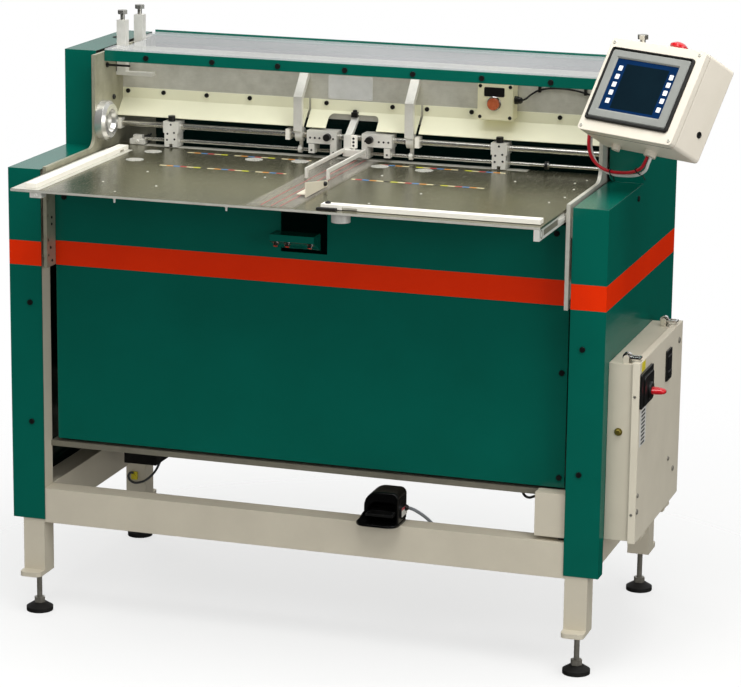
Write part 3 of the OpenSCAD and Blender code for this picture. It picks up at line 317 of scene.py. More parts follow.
def makeScale(name, spec):
    # Printed measuring tape: coloured fields to both sides of the middle, each row ending in a dark gap
    material, tree, shader, place = startMaterial(name)
    middle, period, colours = at(spec["middle"], 0, 0).x, spec["period"], spec["colours"]
    along = addNode(tree, "ShaderNodeSeparateXYZ", {0: place})[0]
    centred = addNode(tree, "ShaderNodeMath", {"operation": "SUBTRACT", 0: along, 1: middle})[0]
    reach = addNode(tree, "ShaderNodeMath", {"operation": "ABSOLUTE", 0: centred})[0]
    rows = {"operation": "MULTIPLY_ADD", 0: reach, 1: 1000 / period, 2: spec["start"] / period}
    turns = addNode(tree, "ShaderNodeMath", rows)[0]
    part = addNode(tree, "ShaderNodeMath", {"operation": "FRACT", 0: turns})[0]
    ramp = addNode(tree, "ShaderNodeValToRGB", {0: part})[0]
    ramp.node.color_ramp.interpolation = "CONSTANT"
    points = ramp.node.color_ramp.elements
    while len(points) < len(colours):
        points.new(0.5)
    for i, hexText in enumerate(colours):
        points[i].position = i / len(colours)
        points[i].color = linear(hexText)
    scuffs = {"Vector": place, "Scale": 1000 / spec["wearSize"], "Detail": 4.0}
    worn = addNode(tree, "ShaderNodeTexNoise", scuffs)["Fac"]
    limits = {"Value": worn, "From Min": 0.55, "From Max": 0.85, "To Max": 0.3}
    faded = addNode(tree, "ShaderNodeMapRange", limits)[0]
    tones = {**rgba, 0: faded, 6: ramp, 7: linear(spec["worn"])}
    colour = addNode(tree, "ShaderNodeMix", tones)[2]
    setUp(tree, shader, {"Base Color": colour, "Roughness": spec["rough"]})
    return material


def makePerforated(name, spec):
    # Perforated white disc: rows of small dark suction holes, drawn coarser than real ones so that they show
    material, tree, shader, place = startMaterial(name)
    pitch = spec["pitch"]
    rows = {"operation": "SCALE", 0: place, "Scale": 1000 / pitch}
    grid = addNode(tree, "ShaderNodeVectorMath", rows)[0]
    cell = addNode(tree, "ShaderNodeVectorMath", {"operation": "FRACTION", 0: grid})[0]
    axes = addNode(tree, "ShaderNodeSeparateXYZ", {0: cell})
    flat = addNode(tree, "ShaderNodeCombineXYZ", {0: axes[0], 1: axes[1]})[0]
    centre = {"operation": "DISTANCE", 0: flat, 1: (0.5, 0.5, 0)}
    reach = addNode(tree, "ShaderNodeVectorMath", centre)["Value"]
    radius = {"operation": "LESS_THAN", 0: reach, 1: spec["hole"] / pitch / 2}
    inside = addNode(tree, "ShaderNodeMath", radius)[0]
    tones = {**rgba, 0: inside, 6: linear(spec["tone"]), 7: linear(spec["holeTone"])}
    colour = addNode(tree, "ShaderNodeMix", tones)[2]
    setUp(tree, shader, {"Base Color": colour, "Roughness": spec["rough"]})
    return material


made = {name: makeFinish(name, spec) for name, spec in finishes.items()}
for name in sheets:
    made[name] = makeFinish(name, finishes["greenPowderCoat"])
clearFinishes = {
    "clearSheet": {"tint": "#f2f4f5", "rough": 0.05, "dust": (0.3, 0.38), "patch": 1000 / 3},
    "clearStrip": {"tint": "#d8d2c8", "rough": 0.12, "dust": (0.12, 0.26), "patch": 1000 / 3}}
for name, spec in clearFinishes.items():
    made[name] = makeClear(name, spec)
# Lengths in mm; start is the part of a row that is cut off at the middle
tapePrint = {"middle": -14, "start": 61, "period": 112, "wearSize": 10 / 3, "worn": "#8d8979", "rough": 0.4,
             "colours": ["#dde02c", "#efe3b8", "#c02c34", "#4a8fd0", "#e39430", "#efe3b8", "#0a0a08"]}
made["scaleTape"] = makeScale("scaleTape", tapePrint)
discHoles = {"pitch": 5.0, "hole": 3.3, "tone": "#d6d5cb", "holeTone": "#34342f", "rough": 0.4}
made["suctionDisc"] = makePerforated("suctionDisc", discHoles)
print("stage: materials made,", len(made))

wear = {
    "leftGreen": ["left_cover"],
    "rightGreen": ["right_cover"],
    "panelGreen": ["front_panel"],
    "rearGreen": ["rear_panel"],
    "greenPowderCoat": ["top_rails", "valve_box"],
    "beigePowderCoat": ["frame_legs", "frame_rails", "cabinet_body", "junction_box"],
    "palePowderCoat": ["console_body"],
    "creamPowderCoat": ["cabinet_door", "gauge_plate"],
    "guardPaint": ["guards"],
    "creamMoulding": ["cycle_box"],
    "zincSheet": ["back_wall", "right_cheek"],
    "agedZinc": ["left_cheek"],
    "shadedTraySheet": ["floor_tray"],
    "groundSteel": ["adjust_screws", "upper_shaft", "lower_rod", "cheek_rails", "console_pivot"],
    "burnishedSteel": ["level_screws"],
    "brushedTable": ["table_plate", "vacuum_box"],
    "polishedSteel": ["end_disc"],
    "milledAluminium": ["adjust_posts", "stop_left", "stop_right", "spine_left", "spine_right", "hangers",
                        "centre_arm", "table_rails", "bar_cylinders"],
    "chromePlate": ["front_latch", "rear_latch"],
    "whiteAcetal": ["shaft_collars", "left_bar", "front_bar"],
    "suctionDisc": ["suction_discs"],
    "blackMoulding": ["stop_left_knob", "stop_right_knob", "spine_left_knob", "spine_right_knob",
                      "foot_switch", "foot_pedal", "screen_panel", "panel_screws"],
    "blackPaint": ["vacuum_unit"],
    "redMoulding": ["estop_knob", "switch_handle"],
    "orangeLens": ["cycle_button"],
    "clearSheet": ["top_sheet"],
    "clearStrip": ["clear_strip"],
    "blackRubber": ["foot_pads"],
    "redTube": ["console_hoses"],
    "greyCable": ["pedal_cable"],
}
for finish, names in wear.items():
    for name in names:
        slots = nodes[name].data.materials
        slots.clear()
        slots.append(made[finish])
print("stage: frame dressed")


# Piece building blocks. A shape is a pair of points and faces, and place maps its local mm to the frame.

def slab(x, y, z, place=at):
    points = [place(a, b, c) for c in z for b in y for a in x]
    return points, [(0, 1, 3, 2), (4, 6, 7, 5), (0, 4, 5, 1), (2, 3, 7, 6), (0, 2, 6, 4), (1, 5, 7, 3)]


def skin(rings, closed=False):
    # Joins rings of equal length, with caps at both ends, or with the last joined to the first if closed
    total, count = len(rings), len(rings[0])
    faces = []
    for i in range(total if closed else total - 1):
        low, high = i * count, (i + 1) % total * count
        for k in range(count):
            n = (k + 1) % count
            faces.append((low + k, low + n, high + n, high + k))
    if not closed:
        faces += [tuple(range(count - 1, -1, -1)), tuple(range((total - 1) * count, total * count))]
    return [p for ring in rings for p in ring], faces


def turned(place, profile, turns=24):
    # Profile of radius and height pairs, turned round the local Z axis
    angles = [2 * pi * k / turns for k in range(turns)]
    return skin([[place(r * cos(t), r * sin(t), height) for t in angles] for r, height in profile])


def rounded(x0, x1, z0, z1, corner, steps):
    # Outline of a rectangle with rounded corners
    centres = ((x1 - corner, z1 - corner, 0), (x0 + corner, z1 - corner, 90),
               (x0 + corner, z0 + corner, 180), (x1 - corner, z0 + corner, 270))
    arcs = [(x, z, radians(start + 90 * k / steps)) for x, z, start in centres for k in range(steps + 1)]
    return [(x + corner * cos(t), z + corner * sin(t)) for x, z, t in arcs]


def card(place, width, height, corner, thick, steps=5):
    # Flat plate with rounded corners, its middle at the local origin
    rim = rounded(-width / 2, width / 2, -height / 2, height / 2, corner, steps)
    return skin([[place(a, b, c) for a, b in rim] for c in (0, thick)])


def loft(place, rings):
    # Skin over closed rings of equal length, given as local points
    return skin([[place(*p) for p in ring] for ring in rings])


def outward(x, y, z, way):
    # Local Z points the way that is named
    turn = {"right": lambda a, b, c: (x + c, y + a, z + b), "left": lambda a, b, c: (x - c, y + a, z + b),
            "front": lambda a, b, c: (x + a, y - c, z + b), "up": lambda a, b, c: (x + a, y + b, z + c),
            "down": lambda a, b, c: (x + a, y + b, z - c)}[way]
    return lambda a, b, c: at(*turn(a, b, c))


def rounds(spots, way, profile, turns):
    # The same turned shape at every spot
    return [turned(outward(*spot, way), profile, turns) for spot in spots]


def corners(x, y, z, across, up):
    return [(x + sx * across, y, z + sz * up) for sx in (-1, 1) for sz in (-1, 1)]


def joined(name, shapes, finish, smooth=False):
    points, faces = [], []
    for more, sides in shapes:
        faces += [tuple(len(points) + i for i in side) for side in sides]
        points += more
    mesh = bpy.data.meshes.new(name)
    mesh.from_pydata([tuple(p) for p in points], [], faces)
    work = bmesh.new()
    work.from_mesh(mesh)
    bmesh.ops.recalc_face_normals(work, faces=work.faces)
    work.to_mesh(mesh)
    work.free()
    mesh.materials.append(made[finish])
    mesh.polygons.foreach_set("use_smooth", [smooth] * len(mesh.polygons))
    item = bpy.data.objects.new(name, mesh)
    scene.collection.objects.link(item)
    return item


def dress(name, body, finish, shapes, bevel=0.0, smooth=False):
    # Joins the shapes to one piece that rides on a body
    item = joined(name, shapes, finish, smooth)
    if bevel:
        edge = item.modifiers.new("edges", "BEVEL")
        edge.width = bevel / 1000
        edge.segments = 2
        edge.limit_method = "ANGLE"
    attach(item, body)
    return item


def screwHead(radius, height):
    # Domed head with a socket
    return [(radius, -0.4), (radius, height * 0.5), (radius * 0.8, height), (radius * 0.45, height),
            (radius * 0.45, height * 0.4), (0.1, height * 0.4)]


# Cords: listed points, a smooth line through them and a round tube along the line

def smoothLine(points, steps=6):
    spots = [at(*p) for p in points]
    spots = [spots[0] * 2 - spots[1]] + spots + [spots[-1] * 2 - spots[-2]]
    line = []
    for a, b, c, d in zip(spots, spots[1:], spots[2:], spots[3:]):
        for k in range(steps):
            t = k / steps
            bend = (c - a) * t + (a * 2 - b * 5 + c * 4 - d) * t * t + (b * 3 - a - c * 3 + d) * t ** 3
            line.append(b + bend / 2)
    return line + [spots[-2]]


def tube(line, radius, turns=14):
    angles = [2 * pi * k / turns for k in range(turns)]
    aside = (line[1] - line[0]).orthogonal().normalized()
    rings = []
    for i, spot in enumerate(line):
        ahead = (line[min(i + 1, len(line) - 1)] - line[max(i - 1, 0)]).normalized()
        aside = (aside - ahead * aside.dot(ahead)).normalized()
        across = ahead.cross(aside)
        rings.append([spot + (aside * cos(t) + across * sin(t)) * radius / 1000 for t in angles])
    return skin(rings)


hoses = {
    "redHose": {"radius": 3.5, "finish": "redTube", "points": [
        (714.5, 140.5, 1103.2), (710.5, 136.0, 1092), (702.5, 139.5, 1079.5), (684, 155.5, 1067.5),
        (656, 177, 1059.5), (626, 192, 1057.5), (600, 199.5, 1065), (582, 203, 1082), (573, 208.5, 1104),
        (570, 221, 1128), (567, 246, 1150), (563.5, 280, 1163), (564.5, 306, 1167), (570, 321, 1168),
        (579.7, 331, 1168)]},
    "greyHose": {"radius": 3.25, "finish": "greyTube", "points": [
        (723, 135.5, 1103.2), (719, 132.5, 1091), (711, 141, 1074), (691, 160, 1060), (660, 184, 1052),
        (628, 200, 1050.5), (602, 208, 1059), (585, 212, 1078), (576, 217.5, 1101), (573, 230, 1124),
        (570, 255, 1143.5), (567, 288, 1154), (567.5, 310, 1156), (572, 323, 1156), (579.7, 332, 1156)]},
}
# Straps round both hoses: their middle, the way along the hoses and the way across
ties = [{"middle": (627, 196, 1054), "along": (-56, 22, 3), "across": (2, 8, -7)},
        {"middle": (695, 150.5, 1069.5), "along": (-19, 16, -13), "across": (7.5, 4, -7)}]
strap = {"wide": 10.4, "high": 5.2, "radius": 1.2, "tail": ((5, 4), (11, 7))}
grommet = {"cheek": 580, "spots": ((331, 1168), (332, 1156)),
           "profile": [(7, 0), (7, 1.5), (5.5, 2.5), (4, 2.5), (4, 0.2)]}
fixedCords = {
    "footCable": {"radius": 3.5, "finish": "greyCable", "points": [
        (238.3, 44, 322.3), (249, 46, 318.8), (263, 53, 308.8), (275, 60.5, 297.3), (287, 65, 284.3),
        (308, 67, 263.3), (341, 68, 245.3), (385, 69, 235.3), (431, 69, 232.3), (477, 69, 235.3),
        (517, 68, 247.3), (543, 66, 270.3), (556, 63.5, 297.3), (560, 60, 314.3), (561, 54, 325.3),
        (561, 44.3, 331.3)]},
    "earthCable": {"radius": 2.8, "finish": "darkCable", "points": [
        (-508, 480.4, 300), (-508, 491, 289), (-511, 501, 262), (-523, 515, 228), (-549, 545, 190),
        (-583, 578, 158), (-606, 591, 144.5), (-622, 594, 141), (-634, 594.5, 146), (-638.5, 595, 156),
        (-634, 596, 164), (-626, 597, 165)]},
    "boxLead": {"radius": 2.2, "finish": "blackRubber", "points": [
        (370, 414, 1160), (379, 418, 1164), (390, 428, 1174), (405, 434, 1182), (428, 435, 1187),
        (455, 435, 1188), (482, 435, 1186), (508, 434, 1181), (530, 434, 1174), (556, 434, 1168),
        (579, 434, 1166)]},
    "junctionLead": {"radius": 2.8, "finish": "blackRubber", "points": [
        (484, 66, 390.8), (484.5, 64, 384), (488, 58, 377), (496, 49, 373), (507, 40, 374), (517, 34, 379),
        (526.5, 30, 384)]},
}


def tieRound(spec):
    # Narrow strap round both hoses with a short tail
    along, across = (Vector(spec[k]).normalized() for k in ("along", "across"))
    across = (across - along * across.dot(along)).normalized()
    third = along.cross(across)
    steps = [2 * pi * k / 20 for k in range(21)]
    wide, high = across * strap["wide"], third * strap["high"]
    spots = [Vector(spec["middle"]) + wide * cos(t) + high * sin(t) for t in steps]
    end = spots[-1]
    spots += [end + across * a + third * b for a, b in strap["tail"]]
    return tube([at(*p) for p in spots], strap["radius"], 8)


for name, spec in hoses.items():
    line = smoothLine(spec["points"])
    hose = joined(name, [tube(line, spec["radius"])], spec["finish"], True)
    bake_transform(hose)
    extra = []
    if name == "redHose":
        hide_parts("console_hoses")
        extra = [joined("hoseTies", [tieRound(tie) for tie in ties], "blackMoulding", True)]
        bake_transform(extra[0])
for name, spec in fixedCords.items():
    line = smoothLine(spec["points"])
    cable = joined(name, [tube(line, spec["radius"])], spec["finish"], True)
    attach(cable, "machine")
    if name == "footCable":
        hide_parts("pedal_cable")
dress("hoseGrommets", "machine", "blackRubber",
      rounds([(grommet["cheek"], y, z) for y, z in grommet["spots"]], "left", grommet["profile"], 20))
print("stage: cords laid")

# Console: local x across the face, y into the box, z up the face

console = {"x": 668.7, "y": 105.0, "z": 1148.3, "yaw": 31.0, "tilt": 29.5, "height": 209.0, "width": 268.0,
           "screws": ((-125, 200), (116, 200), (-125, 9), (125, 9)), "plug": (68, 53), "stop": (16, 40)}
# Left, right, low and high edge of each field; keys by their x, with the heights of each row
face = {"gasket": (-123, 113, 24, 189), "bezel": (-117, 104, 31, 184), "screen": (-96, 78, 50, 166),
        "dark": (-66, 55, 56, 156), "key": 11,
        "keys": {-79: (145, 126, 108, 90, 71), 67: (142, 125, 107, 89, 69)}}


def onConsole(a, b, c):
    tilt, yaw = radians(console["tilt"]), radians(console["yaw"])
    y = b * cos(tilt) + c * sin(tilt)
    z = c * cos(tilt) - b * sin(tilt)
    return at(console["x"] + a * cos(yaw) + y * sin(yaw),
              console["y"] - a * sin(yaw) + y * cos(yaw), console["z"] + z)


def grown(box, by):
    return box[0] - by, box[1] + by, box[2] - by, box[3] + by


def surround(outer, inner, corner, front, back):
    # Picture frame on the console face with rounded outer corners and softened edges
    frames = ((outer, corner, back), (outer, corner, front + 2), (grown(outer, -2), corner - 2, front),
              (grown(inner, 3), 2, front), (inner, 1, front + 2.5), (inner, 1, back))
    return skin([[onConsole(x, depth, z) for x, z in rounded(*box, r, 6)] for box, r, depth in frames], True)


def onFace(x, z):
    return lambda a, b, c: onConsole(x + a, -c, z + b)


def onRightSide(a, b, c):
    return onConsole(console["width"] / 2 + c, console["plug"][0] + a, console["plug"][1] + b)


def onTop(a, b, c):
    return onConsole(console["stop"][0] + a, console["stop"][1] + b, console["height"] + c)


def field(box, depth):
    return [slab(box[:2], depth, box[2:], onConsole)]


gasket = dress("screenGasket", "console", "blackRubber",
               [surround(face["gasket"], face["bezel"], 8, -5.5, -0.3)], smooth=True)
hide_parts("screen_panel")
dress("screenBezel", "console", "greyBezel",
      [surround(grown(face["bezel"], -0.5), face["screen"], 5, -4.5, 2)])
dress("screenField", "console", "screenBlue", field(grown(face["screen"], 2), (-1.2, 4)), 0.4)
dress("screenMiddle", "console", "screenDark", field(face["dark"], (-1.5, 0)), 0.1)
dress("screenKeys", "console", "screenWhite",
      [card(onFace(x, z), face["key"], face["key"], 1.2, 1.8)
       for x, rows in face["keys"].items() for z in rows])
dress("consoleScrews", "console", "zincSheet",
      [turned(onFace(x, z), screwHead(4.2, 1.5), 20) for x, z in console["screws"]])
dress("consolePlug", "console", "blackMoulding",
      [turned(onRightSide, [(7, -1), (7, 1.0), (5.5, 1.6), (4.5, 1.2), (4, 0.2), (0.2, 0.2)])])
dress("stopCollar", "console", "greyBezel",
      [turned(onTop, [(17, -0.5), (17, 0.9), (16, 1.5), (9, 1.6), (9, -0.5)], 32)])
# Nearly black strip along the lid edge: painted shade of the seam
dress("consoleSeam", "console", "paintedSeamShade", [slab((-120, 120), (22, 23.2), (-0.25, 0.4), onConsole)])
print("stage: console dressed")

# Table: scale tapes, pins, edge strips, lines on the clear strip, groove of the right rail, small clamps

# Heights of the faces and the width in mm; a tape has two ends and a y, a pin has x and y
table = {"top": 1007.0, "under": 1001.9, "strip": 1010.3, "half": 575.8, "lines": (-18, 5, 24),
         "tapes": [(-391, -92, 346), (-385, -91, 175), (64, 353, 356), (61, 357, 168)],
         "pins": [(-425, -52), (-358, -148), (398, 270), (524, 295), (540, 338), (539, 226), (543, 132),
                  (526, 66), (-380, 90), (-300, -60), (250, 60), (180, -80), (-120, 120), (110, 230)]}
lip = {"front": -195.3, "upright": -194.9, "back": -192, "low": 1001.6, "fold": 1002.2, "high": 1006.6}
rail = {"face": 574, "y": (-161, -47), "z": (984, 996), "ring": (-178, 989.9), "sunk": -0.1, "proud": 0.15}
gap = 0.02  # keeps flat pieces clear of the face under them
top, under, wide = table["top"], table["under"], (-table["half"], table["half"])
dress("scaleTapes", "table", "scaleTape",
      [slab((x0, x1), (y - 3, y + 3), (top + gap, top + 0.4)) for x0, x1, y in table["tapes"]])
dress("tablePins", "table", "milledAluminium",
      rounds([(x, y, top) for x, y in table["pins"]], "up",
             [(2.6, 0), (2.6, 0.5), (1.6, 1.1), (0.2, 1.2)], 12), smooth=True)
dress("edgeStrip", "table", "zincSheet", [card(outward(-543, 67, top + gap, "up"), 64, 524, 4, 0.5)])
dress("rearStrip", "table", "zincSheet", [card(outward(-59, 406, top + gap, "up"), 900, 26, 3, 0.6)])
dress("stripLines", "table", "redLacquer",
      [slab((x - 0.8, x + 0.8), (-190, 380), (table["strip"] + gap, table["strip"] + 0.12))
       for x in table["lines"]])
dress("frontLip", "table", "zincSheet",
      [slab(wide, (lip["front"], lip["upright"]), (lip["fold"], lip["high"])),
       slab(wide, (lip["front"], lip["back"]), (lip["low"], lip["fold"]))], 0.1)
# The groove is a thin strip in the darkened tray sheet: painted shade of the recess
ring = [(9, rail["sunk"]), (9, rail["proud"]), (6.6, rail["proud"]), (6.6, rail["sunk"])]
dress("railGroove", "table", "shadedTraySheet",
      [slab((rail["face"] + rail["sunk"], rail["face"] + rail["proud"]), rail["y"], rail["z"]),
       turned(outward(rail["face"], *rail["ring"], "right"), ring)])
dress("edgePins", "table", "milledAluminium",
      rounds([(x, -190, under) for x in (-341.7, -93)], "down",
             [(3.4, 0), (3.4, 2), (2.2, 2.5), (2.2, 9), (1.4, 10), (0.2, 10)], 14))
dress("rearClamp", "table", "milledAluminium",
      [slab((-548, -512), (398, 418), (top + 0.7, 1020)), slab((-540, -519), (400, 416), (1020, 1029)),
       turned(outward(-529, 398, 1015, "front"), screwHead(4, 3), 16)], 0.8)
dress("barBracket", "table", "milledAluminium",
      [slab((-533, -506), (-193, -168), (990, under)),
       turned(outward(-519, -193, 996, "front"), screwHead(4, 2), 16)], 0.8)
dress("barScrew", "front_hold_bar", "blackMoulding",
      [turned(outward(118, -161, 1018, "up"), screwHead(6, 4), 20)])
dress("barPad", "table", "blackRubber",
      [card(outward(126, -161, top + gap, "up"), 52, 30, 4, 0.8),
       slab((100, 142), (-186, -174), (top + 0.1, 1012))], 0.6)
dress("gaugeScrew", "table", "blackMoulding",
      [turned(outward(44, 34, 1019.5, "right"),
              [(5, -0.4), (5, 4), (4, 6), (2.2, 6), (2.2, 3), (0.2, 3)], 18)])
print("stage: table dressed")

# Laying gear: screw heads on the sliding blocks, the gauge with its thin bars, the carriage beside it

blockFront = 386.0
stopSpots = [(0, 51), (-8, 30), (8, 33), (-9, 16), (9, 18)]
spineSpots = [(-27, 40), (-16, 40), (-5, 40), (27, 40), (-24, 12), (28, 9)]
sunkScrew = [(1.8, -1), (2.4, 0.05), (2.4, 0.5), (1.2, 0.6), (1.1, 0.1), (0.1, 0.1)]
blocks = {
    "leftStopScrews": {"body": "left_stop", "x": -442.5, "z": 1009, "side": 1, "spots": stopSpots},
    "rightStopScrews": {"body": "right_stop", "x": 328.5, "z": 1009, "side": 1, "spots": stopSpots},
    "leftSpineScrews": {"body": "left_spine_block", "x": -81.5, "z": 1012, "side": 1, "spots": spineSpots},
    "rightSpineScrews": {"body": "right_spine_block", "x": 47.5, "z": 1012, "side": -1, "spots": spineSpots}}
for name, spec in blocks.items():
    spots = [(spec["x"] + spec["side"] * x, blockFront, spec["z"] + z) for x, z in spec["spots"]]
    dress(name, spec["body"], "blackMoulding", rounds(spots, "front", sunkScrew, 12))

gauge = {"arm": (-26, -10), "bars": ((-25, -20), (24, 29)), "front": 106, "back": 374,
         "low": 1013.9, "bar": 1028, "high": 1037, "wall": 438.7}


def prismX(x, outline):
    return loft(at, [[(a, y, z) for y, z in outline] for a in x])


front, back, low, bar, high, wall = (gauge[k] for k in ("front", "back", "low", "bar", "high", "wall"))
barOutline = [(front, low), (front + 11, low), (front + 11, bar - 4), (front + 15, bar), (back - 6, bar),
              (back - 6, high), (front, high)]
armOutline = [(back, 1030), (back + 22, 1030), (back + 22, 1059), (wall, 1091), (wall, 1101),
              (back + 12, 1066), (back, 1066)]
leftBar, rightBar = gauge["bars"]
gaugeArm = dress("centreGauge", "machine", "milledAluminium",
                 [prismX(gauge["arm"], armOutline)] + [prismX(x, barOutline) for x in gauge["bars"]]
                 + [slab((leftBar[0], rightBar[1]), (back - 8, back + 2), (1018, 1034))], 0.8)
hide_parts("centre_arm")
dress("gaugeCarriage", "machine", "whiteAcetal",
      [slab((-9.8, 4), (375, 384), (1036, 1065)), slab((-5, -1), (377, 382), (1016, 1037))], 0.8)
dress("carriageScrews", "machine", "blackMoulding",
      rounds([(-3, 375, z) for z in (1042, 1050, 1058)], "front", screwHead(2.6, 1.6), 14)
      + [slab((-25, -11), (424, 436), (1097, 1108)),
         turned(outward(-18, 430, 1108, "up"), screwHead(5, 5), 18)])
seam = {"y": (blockFront - 0.1, blockFront + 0.2), "z": (1038.6, 1039.4)}
# Nearly black strips on the block fronts: painted shade of the seams
dress("blockSeams", "left_spine_block", "paintedSeamShade", [slab((-115, -60), seam["y"], seam["z"])])
dress("blockSeamsRight", "right_spine_block", "paintedSeamShade", [slab((26, 81), seam["y"], seam["z"])])
dress("rodKnob", "machine", "blackMoulding",
      [turned(outward(428.2, 408, 1021, "right"), [(4.6, 0), (9.4, 0), (9.4, 7.4), (8.6, 8.6), (4.6, 8.6)])])
print("stage: laying gear dressed")

# Bare rating plate, button box furniture and lead clips, valve knobs, cheek screws, plug of the tower

wallFace = 438.95
plate = {"x": -32, "z": 1160.5, "width": 104, "height": 53, "thick": 1.2, "margin": 5}
rivets = corners(plate["x"], wallFace - plate["thick"], plate["z"], plate["width"] / 2 - plate["margin"],
                 plate["height"] / 2 - plate["margin"])
dress("ratingPlate", "machine", "barePlate",
      [card(outward(plate["x"], wallFace, plate["z"], "front"),
            plate["width"], plate["height"], 3, plate["thick"])]
      + rounds(rivets, "front", [(1.8, -0.3), (1.8, 0.4), (1.2, 0.9), (0.1, 1.0)], 12), 0.3)
button = {"x": 314, "z": 1153, "front": 392, "box": (316, 1157), "screws": 34, "label": 1178.5,
          "gland": (356, 414, 1160)}
boxFront = button["front"]
dress("buttonLabel", "machine", "blackMoulding",
      [card(outward(button["x"], boxFront - 0.05, button["label"], "front"), 46, 20.5, 3, 1.2)], 0.3)
dress("buttonRing", "machine", "chromePlate",
      [turned(outward(button["x"], boxFront, button["z"], "front"),
              [(16, -0.4), (16, 2.4), (14.5, 3.6), (13.6, 3.6), (13.6, -0.4)], 32)])
boxX, boxZ = button["box"]
boxScrews = corners(boxX, boxFront, boxZ, button["screws"], button["screws"])
dress("buttonBoxScrews", "machine", "blackMoulding", rounds(boxScrews, "front", screwHead(4, 2), 16))
dress("boxGland", "machine", "blackMoulding",
      [turned(outward(*button["gland"], "right"),
              [(9, -1), (9, 6), (7.5, 7), (7.5, 12), (4.5, 16), (3, 16.5)], 20)])
dress("leadClips", "machine", "blackMoulding",
      [slab((x - 3, x + 3), (431, 438.9), (z - 5, z + 12)) for x, z in ((405, 1182), (508, 1181))], 0.8)
valve = {"y": 7, "z": 891.4, "rise": 23, "run": 44.7, "knobs": (-54, -28, 23)}


def onValve(x):
    # Slanted underside of the valve box, local Z pointing down and to the front
    lean = atan2(valve["rise"], valve["run"])
    return lambda a, b, c: at(x + a, valve["y"] + b * cos(lean) - c * sin(lean),
                              valve["z"] - b * sin(lean) - c * cos(lean))


dress("valveKnobs", "machine", "chromePlate",
      [turned(onValve(x), [(7, -0.4), (7, 3), (5.5, 4), (5.5, 8), (4.5, 9), (0.2, 9)], 20)
       for x in valve["knobs"]])
# Inner face of the left cheek; large and small screws and the long pin by their y and z
cheek = {"face": -580, "large": ((382, 1117), (345, 1195)), "pin": (345, 1195),
         "small": ((25.7, 904), (25.2, 889), (18, 838), (25.8, 808))}
dress("cheekScrews", "machine", "blackMoulding",
      rounds([(cheek["face"], *spot) for spot in cheek["large"]], "right", screwHead(6, 4), 20)
      + [turned(outward(cheek["face"], *cheek["pin"], "right"),
                [(2.5, 0), (2.5, 55), (1.8, 56), (0.1, 56)], 12)]
      + rounds([(cheek["face"], *spot) for spot in cheek["small"]], "right", screwHead(3.2, 1.6), 14))
dress("towerPlug", "machine", "blackRubber",
      [turned(outward(-630, 538, 1230, "up"),
              [(15, 0.02), (15, 0.8), (13.5, 1.2), (12, 0.5), (0.2, 0.5)], 28)])

# Cabinet furniture, foot switch with its bare label, left skirt, glands, earth terminal

# Places on the door by their y and z, screws also by their radius
door = {"face": 737.6, "switch": (91, 626), "frame": (97, 622), "inlet": (311, 622), "upper": (311, 628),
        "lower": (311, 602), "sticker": (68, 675), "label": (76, 543), "firstBar": (78, 576), "barPitch": 8.5,
        "screws": ((420, 651, 7), (343, 402, 5), (395, 366, 6), (45, 400, 5), (44, 365, 6))}


def onDoor(y, z, out=0.05):
    return outward(door["face"] + out, y, z, "right")


dress("switchPlate", "door", "blackMoulding",
      [card(onDoor(*door["switch"]), 110, 76, 5, 5), card(onDoor(*door["frame"], 5), 84, 62, 8, 3)], 0.8)
dress("mainsInlet", "door", "blackMoulding",
      [card(onDoor(*door["inlet"]), 50, 68, 4, 4), card(onDoor(*door["upper"], 4), 36, 30, 3, 1.5),
       card(onDoor(*door["lower"], 4), 30, 14, 2, 2.5)], 0.8)
dress("bareSticker", "door", "yellowFilm", [card(onDoor(*door["sticker"]), 33, 20, 1.5, 0.3)])
dress("bareLabel", "door", "whiteFilm", [card(onDoor(*door["label"]), 58, 80, 2, 0.3)])
barY, barZ = door["firstBar"]
dress("labelBars", "door", "blackMoulding",
      [card(onDoor(barY, barZ - door["barPitch"] * k, 0.35), 34, 4, 1.2, 0.15) for k in range(9)])
dress("doorScrews", "door", "burnishedSteel",
      [turned(onDoor(y, z, 0), screwHead(radius, 3), 18) for y, z, radius in door["screws"]]
      + rounds([(728, 36, z) for z in (615, 359)], "front", screwHead(3, 1.5), 14))
dress("cabinetBolt", "machine", "yellowZinc",
      [turned(outward(694.3, 40, 536, "front"), [(8.5, -0.4), (8.5, 1.2), (6, 1.3)]),
       turned(outward(694.3, 38.7, 536, "front"), [(6.4, -0.2), (6.4, 4), (5.4, 5), (0.1, 5)], 6)])
# Rings of the handle: distance from the door and half sizes
grip = {"y": 100, "z": 616, "out": 8,
        "rings": [(0, 13, 7), (6, 14.5, 8), (14, 13, 8), (24, 11.5, 7), (31, 9, 5.5), (34.5, 5, 3)]}
angles = [pi * k / 10 for k in range(20)]
handle = dress("switchGrip", "main_switch", "redMoulding",
               [loft(onDoor(grip["y"], grip["z"], grip["out"]),
                     [[(a * cos(t), b * sin(t), reach) for t in angles]
                      for reach, a, b in grip["rings"]])], smooth=True)
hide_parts("switch_handle")
dress("switchHub", "main_switch", "blackMoulding",
      [turned(onDoor(grip["y"], grip["z"], 0),
              [(5, -10), (5, 8.2), (19, 8.3), (19, 12), (17, 14), (6, 14)], 32)])

foot = {"x": (153, 231), "y": (-10, 57), "z": (298, 367), "wall": 7, "left": 34, "right": 13,
        "mouth": (300, 343), "deep": 50, "gland": (229, 44, 322.3)}


def arch(x, z, left, right, y, steps=8):
    # Upright arch with a wide round on its left shoulder and a smaller one on its right
    ring = [(x[0], y, z[0])]
    for cx, r, start in ((x[0] + left, left, 180), (x[1] - right, right, 90)):
        for k in range(steps + 1):
            angle = radians(start - 90 * k / steps)
            ring.append((cx + r * cos(angle), y, z[1] - r + r * sin(angle)))
    return ring + [(x[1], y, z[0])]


